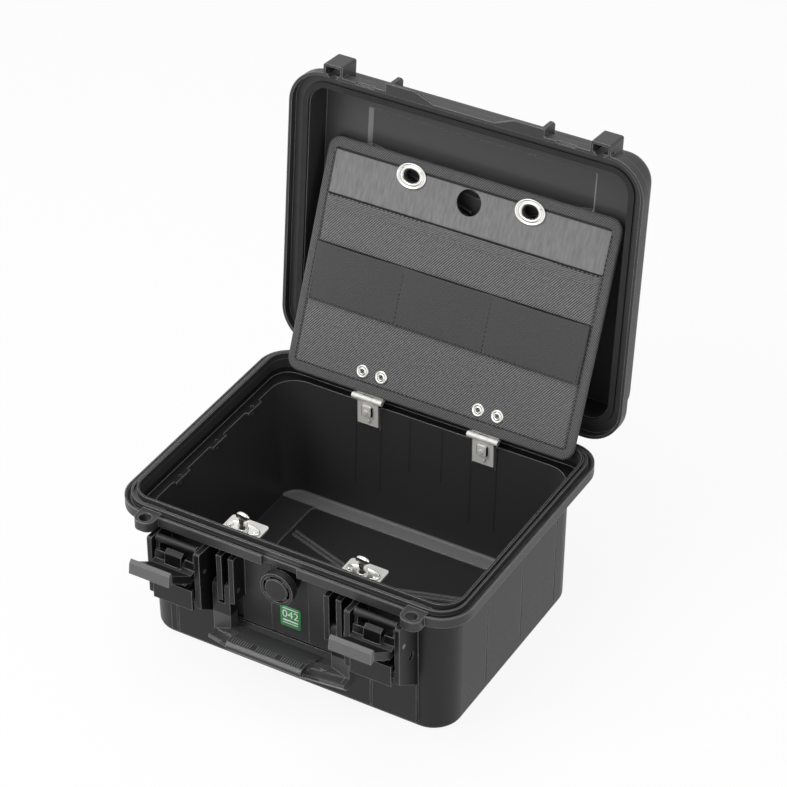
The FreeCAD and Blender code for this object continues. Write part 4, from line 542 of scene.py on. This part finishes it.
# eyelets: a rolled section (flange, groove, raised bead, tube, rear lip) carried round ovals that widen from the hole
# to the flange
def eyeletRings():
    cut = {"v": 211.5, "hole": (8.0, 6.0), "outer": (15.5, 12.0), "power": 2.05, "count": 72}
    share, w = np.array([(1.0, 1.2), (1.0, 2.2), (0.96, 2.65), (0.88, 2.9), (0.76, 2.8), (0.66, 2.1), (0.58, 2.1),
                         (0.5, 2.4), (0.4, 2.9), (0.28, 2.95), (0.14, 2.7), (0.05, 2.0), (0.0, 1.0), (0.0, -5.0),
                         (0.3, -5.2), (0.5, -5.0), (0.5, -4.6), (0.2, -4.5), (0.14, 1.0)]).T[:, :, None]
    across, up = ovalTurn(cut["count"], cut["power"])
    side = np.array([-1, 1])[:, None, None]
    u = side * fittings["x"] + (cut["hole"][0] + share * (cut["outer"][0] - cut["hole"][0])) * across
    v = cut["v"] + (cut["hole"][1] + share * (cut["outer"][1] - cut["hole"][1])) * up
    piece = surface("eyeletRings", onPanel(u, v, w), closeRows=True, closeColumns=True, solid=True)
    dress(piece, satinNickel)
    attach(piece, "panel")
    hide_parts("eyelets")


# hollow rivets: a rolled section turned about the rivet's axis
def panelRivets():
    cut = {"u": (-71.3, -51.3, 51.3, 71.3), "v": 20.0, "count": 40}
    radius, w = np.array([(6.6, 0.9), (6.6, 1.5), (6.2, 2.2), (5.3, 2.5), (4.4, 2.2), (3.8, 2.0), (3.3, 2.4),
                          (2.8, 2.6), (2.2, 2.3), (1.8, 1.6), (1.75, -2.0), (2.4, -2.0), (2.5, 0.8)]).T[:, :, None]
    turn = np.linspace(0, 2 * math.pi, cut["count"], endpoint=False)
    u = np.array(cut["u"])[:, None, None] + radius * np.cos(turn)
    v = cut["v"] + radius * np.sin(turn)
    piece = surface("panelRivets", onPanel(u, v, w), closeRows=True, closeColumns=True, solid=True)
    dress(piece, satinNickel)
    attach(piece, "panel")
    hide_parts("panel_rivets")


pocketCloth()
pocketStrip()
panelBinding()
seamStitches()
eyeletRings()
panelRivets()
print("panel pieces made")


# turn stud: ovals of changing half-width stacked up, from the round foot through the neck to the D-shaped wing
def turnStud(side, name):
    cut = {"power": 2.2, "count": 40}
    z, wide, deep = np.array([(135.0, 0, 0), (135.0, 4.9, 4.9), (136.2, 4.9, 4.9), (137.0, 4.4, 4.4), (140.5, 3.9, 3.9),
                              (143.6, 3.6, 3.4), (144.2, 4.6, 3.0), (144.8, 6.2, 2.7), (145.7, 6.9, 2.6),
                              (147.3, 7.0, 2.6), (149.0, 6.5, 2.5), (150.5, 5.0, 2.2), (151.4, 3.0, 1.6),
                              (151.8, 0, 0)]).T[:, :, None]
    across, along = ovalTurn(cut["count"], cut["power"])
    x = side * fittings["x"] + wide * across
    y = fittings["studY"] + deep * along
    points = np.stack(np.broadcast_arrays(x, y, z), -1) * mm
    piece = surface(name + "Head", points, closeColumns=True, solid=True)
    dress(piece, brightNickel)
    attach(piece, name)
    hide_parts("turn_" + name)


# button bases: a pressed oval with a rolled rim and a dished middle, as ovals that shrink to the centre
def buttonBases():
    cut = {"half": (17.0, 6.5), "power": 2.5, "count": 64}
    share, z = np.array([(0.0, 133.6), (0.97, 133.6), (1.0, 134.1), (1.0, 134.7), (0.97, 135.2), (0.92, 135.3),
                         (0.86, 135.0), (0.78, 134.8), (0.4, 134.8), (0.0, 134.8)]).T[:, :, None]
    across, along = ovalTurn(cut["count"], cut["power"])
    x = np.array([-1, 1])[:, None, None] * fittings["x"] + cut["half"][0] * share * across
    y = fittings["studY"] + cut["half"][1] * share * along
    points = np.stack(np.broadcast_arrays(x, y, z), -1) * mm
    piece = surface("buttonOvals", points, closeColumns=True, solid=True)
    dress(piece, brightNickel)
    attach(piece, "base")
    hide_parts("button_bases")


# pressed tabs on the panel's hinge leaves: ovals stacked out from the leaf, over a rolled edge to the middle
def leafTabs(name, cut, finish):
    share, out = np.array([(0, 0), (1, 0), (1, 0.7), (0.94, 0.93), (0.8, 1), (0, 1)]).T[:, :, None]
    across, up = ovalTurn(cut["count"], cut["power"])
    middle = np.array([side * fittings["x"] + shift for side in (-1, 1) for shift in cut["shift"]])[:, None, None]
    x = middle + cut["half"][0] * share * across
    z = cut["z"] + cut["half"][1] * share * up
    points = np.stack(np.broadcast_arrays(x, cut["seat"] - cut["rise"] * out, z), -1) * mm
    piece = surface(name, points, closeColumns=True, solid=True)
    dress(piece, finish)
    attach(piece, "base")


# valve arcs: short arcs of square section in the trench, closed to a point at each end; pale bridges stand flush with
# the ring, and the dark membrane lies low between them
def valveArcs(name, arc, finish):
    cut = {"z": 120.8, "rear": -142.0, "inner": 11.0, "outer": 13.75, "count": 13}
    radius = np.array([cut["inner"], cut["outer"], cut["outer"], cut["inner"]])
    y = np.array([arc["front"], arc["front"], cut["rear"], cut["rear"]])
    sweep = np.radians(np.linspace(-arc["half"], arc["half"], cut["count"]))
    sweep = np.concatenate([sweep[:1], sweep, sweep[-1:]])
    keep = np.ones(len(sweep))
    keep[[0, -1]] = 0
    radius = radius.mean() + (radius - radius.mean()) * keep[:, None]
    y = y.mean() + (y - y.mean()) * keep[:, None]
    angle = np.radians(arc["angles"])[:, None, None] + sweep[:, None]
    points = np.stack(np.broadcast_arrays(radius * np.cos(angle), y, cut["z"] + radius * np.sin(angle)), -1) * mm
    piece = surface(name, points, closeColumns=True, solid=True)
    piece.data.polygons.foreach_set("use_smooth", np.zeros(len(piece.data.polygons), bool))
    dress(piece, finish)
    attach(piece, "base")


# grip pads: a low cushion section across the grip, its height rippled along the grip by a rectified cosine
def gripPads():
    cut = {"half": 10.2, "pitch": 25.4, "rib": 2.35, "valley": 0.2, "base": 62.9, "count": 111}
    y, z = np.array([(-167.1, 62.9), (-167.1, 63.4), (-166.8, 63.8), (-166.2, 63.95), (-163.8, 64.0), (-161.4, 63.95),
                     (-160.8, 63.8), (-160.5, 63.4), (-160.5, 62.9)]).T
    x = np.linspace(-cut["half"], cut["half"], cut["count"])
    ripple = cut["valley"] + (1 - cut["valley"]) * np.abs(np.cos(math.pi * x / cut["rib"]))
    x = np.concatenate([x[:1], x, x[-1:]])
    ripple = np.concatenate([[0], ripple, [0]])
    keep = (ripple > 0)[:, None]
    height = cut["base"] + (z - cut["base"]) * ripple[:, None]
    depth = y.mean() + (y - y.mean()) * keep
    x = np.array([-1, 0, 1])[:, None, None] * cut["pitch"] + x[:, None]
    points = np.stack(np.broadcast_arrays(x, depth, height), -1) * mm
    piece = surface("ribbedGripPads", points, closeColumns=True, solid=True)
    dress(piece, gripRubber)
    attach(piece, "handle")
    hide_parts("grip_pads")


# label: rounded outlines that step from the back face over a soft edge to the middle of the front
def labelPlate():
    cut = {"half": 10.6, "low": 62.0, "high": 85.0, "corner": 2.2, "back": -122.9, "front": -123.5, "edge": 0.2,
           "count": 120}
    path = roundedPath(cut["half"], cut["low"], cut["high"], cut["corner"], cut["count"])[0]
    centre = np.array([0, (cut["low"] + cut["high"]) / 2])
    share, y = np.array([(0, cut["back"]), (1, cut["back"]), (1, cut["front"] + cut["edge"]), (0.985, cut["front"]),
                         (0.6, cut["front"]), (0, cut["front"])]).T[:, :, None]
    flat = centre + share[..., None] * (path - centre)
    points = np.stack(np.broadcast_arrays(flat[..., 0], y, flat[..., 1]), -1) * mm
    piece = surface("labelPlate", points, closeColumns=True, solid=True)
    dress(piece, greenFilm)
    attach(piece, "base")
    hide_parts("label")


# label print: a plain number as raised ink, and bars as rounded outlines shrunk to their middles
def labelPrint():
    cut = {"number": "042", "size": 11.5, "at": (0, 75.9), "ink": 0.08, "front": -123.5,
           "bars": ((0, 69.2, 8.0, 0.9), (0, 66.2, 8.0, 0.5), (0, 82.4, 8.0, 0.5)), "count": 24, "power": 6}
    words = bpy.data.curves.new("labelDigits", "FONT")
    words.body = cut["number"]
    words.align_x = "CENTER"
    words.align_y = "CENTER"
    words.size = cut["size"] * mm
    words.extrude = cut["ink"] * mm
    holder = bpy.data.objects.new("labelDigits", words)
    bpy.context.scene.collection.objects.link(holder)
    mesh = bpy.data.meshes.new_from_object(holder.evaluated_get(bpy.context.evaluated_depsgraph_get()))
    bpy.data.objects.remove(holder)
    mesh.transform(Matrix.Translation(Vector((cut["at"][0], cut["front"], cut["at"][1])) * mm)
                   @ Matrix.Rotation(math.pi / 2, 4, "X"))
    number = bpy.data.objects.new("labelNumber", mesh)
    bpy.context.scene.collection.objects.link(number)
    share, y = np.array([(0, 0.1), (1, 0.1), (1, -0.06), (0.9, -0.08), (0, -0.08)]).T[:, :, None]
    across, up = ovalTurn(cut["count"], cut["power"])
    bar = np.array(cut["bars"])[:, :, None, None]
    x = bar[:, 0] + bar[:, 2] * share * across
    z = bar[:, 1] + bar[:, 3] * share * up
    points = np.stack(np.broadcast_arrays(x, cut["front"] + y, z), -1) * mm
    bars = surface("labelBars", points, closeColumns=True, solid=True)
    for piece in (number, bars):
        dress(piece, whiteInk)
        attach(piece, "base")


turnStud(-1, "stud_left")
turnStud(1, "stud_right")
buttonBases()
leafTabs("leafClips", {"shift": (0,), "z": 126.0, "half": (5.0, 6.6), "power": 7, "seat": 115.6, "rise": 3.0,
         "count": 32}, leafNickel)
leafTabs("leafClipScrews", {"shift": (-0.5,), "z": 125.0, "half": (2.4, 2.4), "power": 2, "seat": 112.7, "rise": 1.0,
         "count": 32}, leafNickel)
# dark slots at each clip's sides: painted shadow, black sheets where the clips stand open
leafTabs("leafClipShadowSlots", {"shift": (-4.65, 4.65), "z": 125.6, "half": (0.6, 5.2), "power": 7, "seat": 115.5,
         "rise": 2.6, "count": 32}, blackFoamAndShadow)
valveArcs("valveBridges", {"angles": (45, 135, 225, 315), "half": 13, "front": -144.9}, valvePlastic)
valveArcs("valveMembrane", {"angles": (0, 90, 180, 270), "half": 31, "front": -144.3}, blackFoamAndShadow)
gripPads()
labelPlate()
labelPrint()
print("small pieces made")

# floor, light and camera
stageLook = {"floor": "#f4f4f4", "rough": 0.9, "half": 6.0, "grid": 3, "level": 0.0, "glow": 0.9, "fill": 0.42,
             "white": 1.0, "aim": (0, 0, 0.15)}
# name, place, width, height in metres and power in watts of each soft box
softBoxes = (("topSoftBox", (-0.2, 0.1, 2.2), 1.6, 1.4, 16), ("keySoftBox", (-1.05, -1.3, 1.9), 1.1, 1.1, 22),
             ("frontSoftBox", (-0.2, -2.2, 0.8), 1.4, 1.0, 9), ("sideSoftBox", (2.2, -0.6, 0.9), 1.2, 1.4, 5))


# share of rays that see the plain white background: camera, glossy and transmission rays
def whiteRays(tree):
    seen = addNode(tree, "ShaderNodeLightPath")
    shiny = addNode(tree, "ShaderNodeMath", {"operation": "MAXIMUM"}, {0: seen.outputs["Is Glossy Ray"],
                    1: seen.outputs["Is Transmission Ray"]})
    return addNode(tree, "ShaderNodeMath", {"operation": "MAXIMUM"}, {0: seen.outputs["Is Camera Ray"],
                   1: shiny.outputs[0]}).outputs[0]


def studioFloor():
    line = np.linspace(-stageLook["half"], stageLook["half"], stageLook["grid"])
    u, v = np.meshgrid(line, line)
    floor = surface("studioFloor", np.stack([u, v, np.full_like(u, stageLook["level"])], -1))
    material, tree, shader, _ = newMaterial("matt white paper")
    glow = addNode(tree, "ShaderNodeEmission", None, {"Color": (1, 1, 1, 1), "Strength": stageLook["white"]})
    share = addNode(tree, "ShaderNodeMath", {"operation": "MULTIPLY"}, {0: whiteRays(tree), 1: stageLook["glow"]})
    blend = addNode(tree, "ShaderNodeMixShader", None, {0: share.outputs[0], 1: shader.outputs[0],
                    2: glow.outputs[0]})
    tree.links.new(blend.outputs[0], tree.nodes["Material Output"].inputs["Surface"])
    shader.inputs["Base Color"].default_value = linear(stageLook["floor"])
    shader.inputs["Roughness"].default_value = stageLook["rough"]
    dress(floor, material)


def softBox(name, spot, wide, tall, power):
    lamp = bpy.data.lights.new(name, "AREA")
    lamp.shape = "RECTANGLE"
    lamp.size = wide
    lamp.size_y = tall
    lamp.energy = power
    holder = bpy.data.objects.new(name, lamp)
    holder.location = spot
    holder.rotation_euler = (Vector(stageLook["aim"]) - Vector(spot)).to_track_quat("-Z", "Y").to_euler()
    bpy.context.scene.collection.objects.link(holder)


def studioLight():
    world = bpy.data.worlds.new("studio")
    bpy.context.scene.world = world
    world.use_nodes = True
    tree = world.node_tree
    tree.nodes.clear()
    fill = addNode(tree, "ShaderNodeBackground", None, {"Color": (1, 1, 1, 1), "Strength": stageLook["fill"]})
    white = addNode(tree, "ShaderNodeBackground", None, {"Color": (1, 1, 1, 1), "Strength": stageLook["white"]})
    blend = addNode(tree, "ShaderNodeMixShader", None, {0: whiteRays(tree), 1: fill.outputs[0], 2: white.outputs[0]})
    addNode(tree, "ShaderNodeOutputWorld", None, {"Surface": blend.outputs[0]})
    for box in softBoxes:
        softBox(*box)


# camera seat and axes found by fitting the photograph's edges, square frame
def photoCamera():
    seat = {"at": (1.10937, -1.84834, 1.80344), "right": (0.86525, 0.50133, -0.00254),
            "up": (-0.29259, 0.50908, 0.80946), "ahead": (-0.40710, 0.69965, -0.58717), "lens": 138.79, "film": 36.0,
            "far": 50}
    data = bpy.data.cameras.new("photoCamera")
    data.sensor_fit = "HORIZONTAL"
    data.sensor_width = seat["film"]
    data.lens = seat["lens"]
    data.clip_end = seat["far"]
    camera = bpy.data.objects.new("photoCamera", data)
    axes = Matrix((seat["right"], seat["up"], [-a for a in seat["ahead"]])).transposed()
    camera.matrix_world = Matrix.Translation(seat["at"]) @ axes.to_4x4()
    bpy.context.scene.collection.objects.link(camera)
    bpy.context.scene.camera = camera


studioFloor()
studioLight()
photoCamera()
bpy.context.scene.view_settings.view_transform = "Standard"
print("floor, light and camera set")
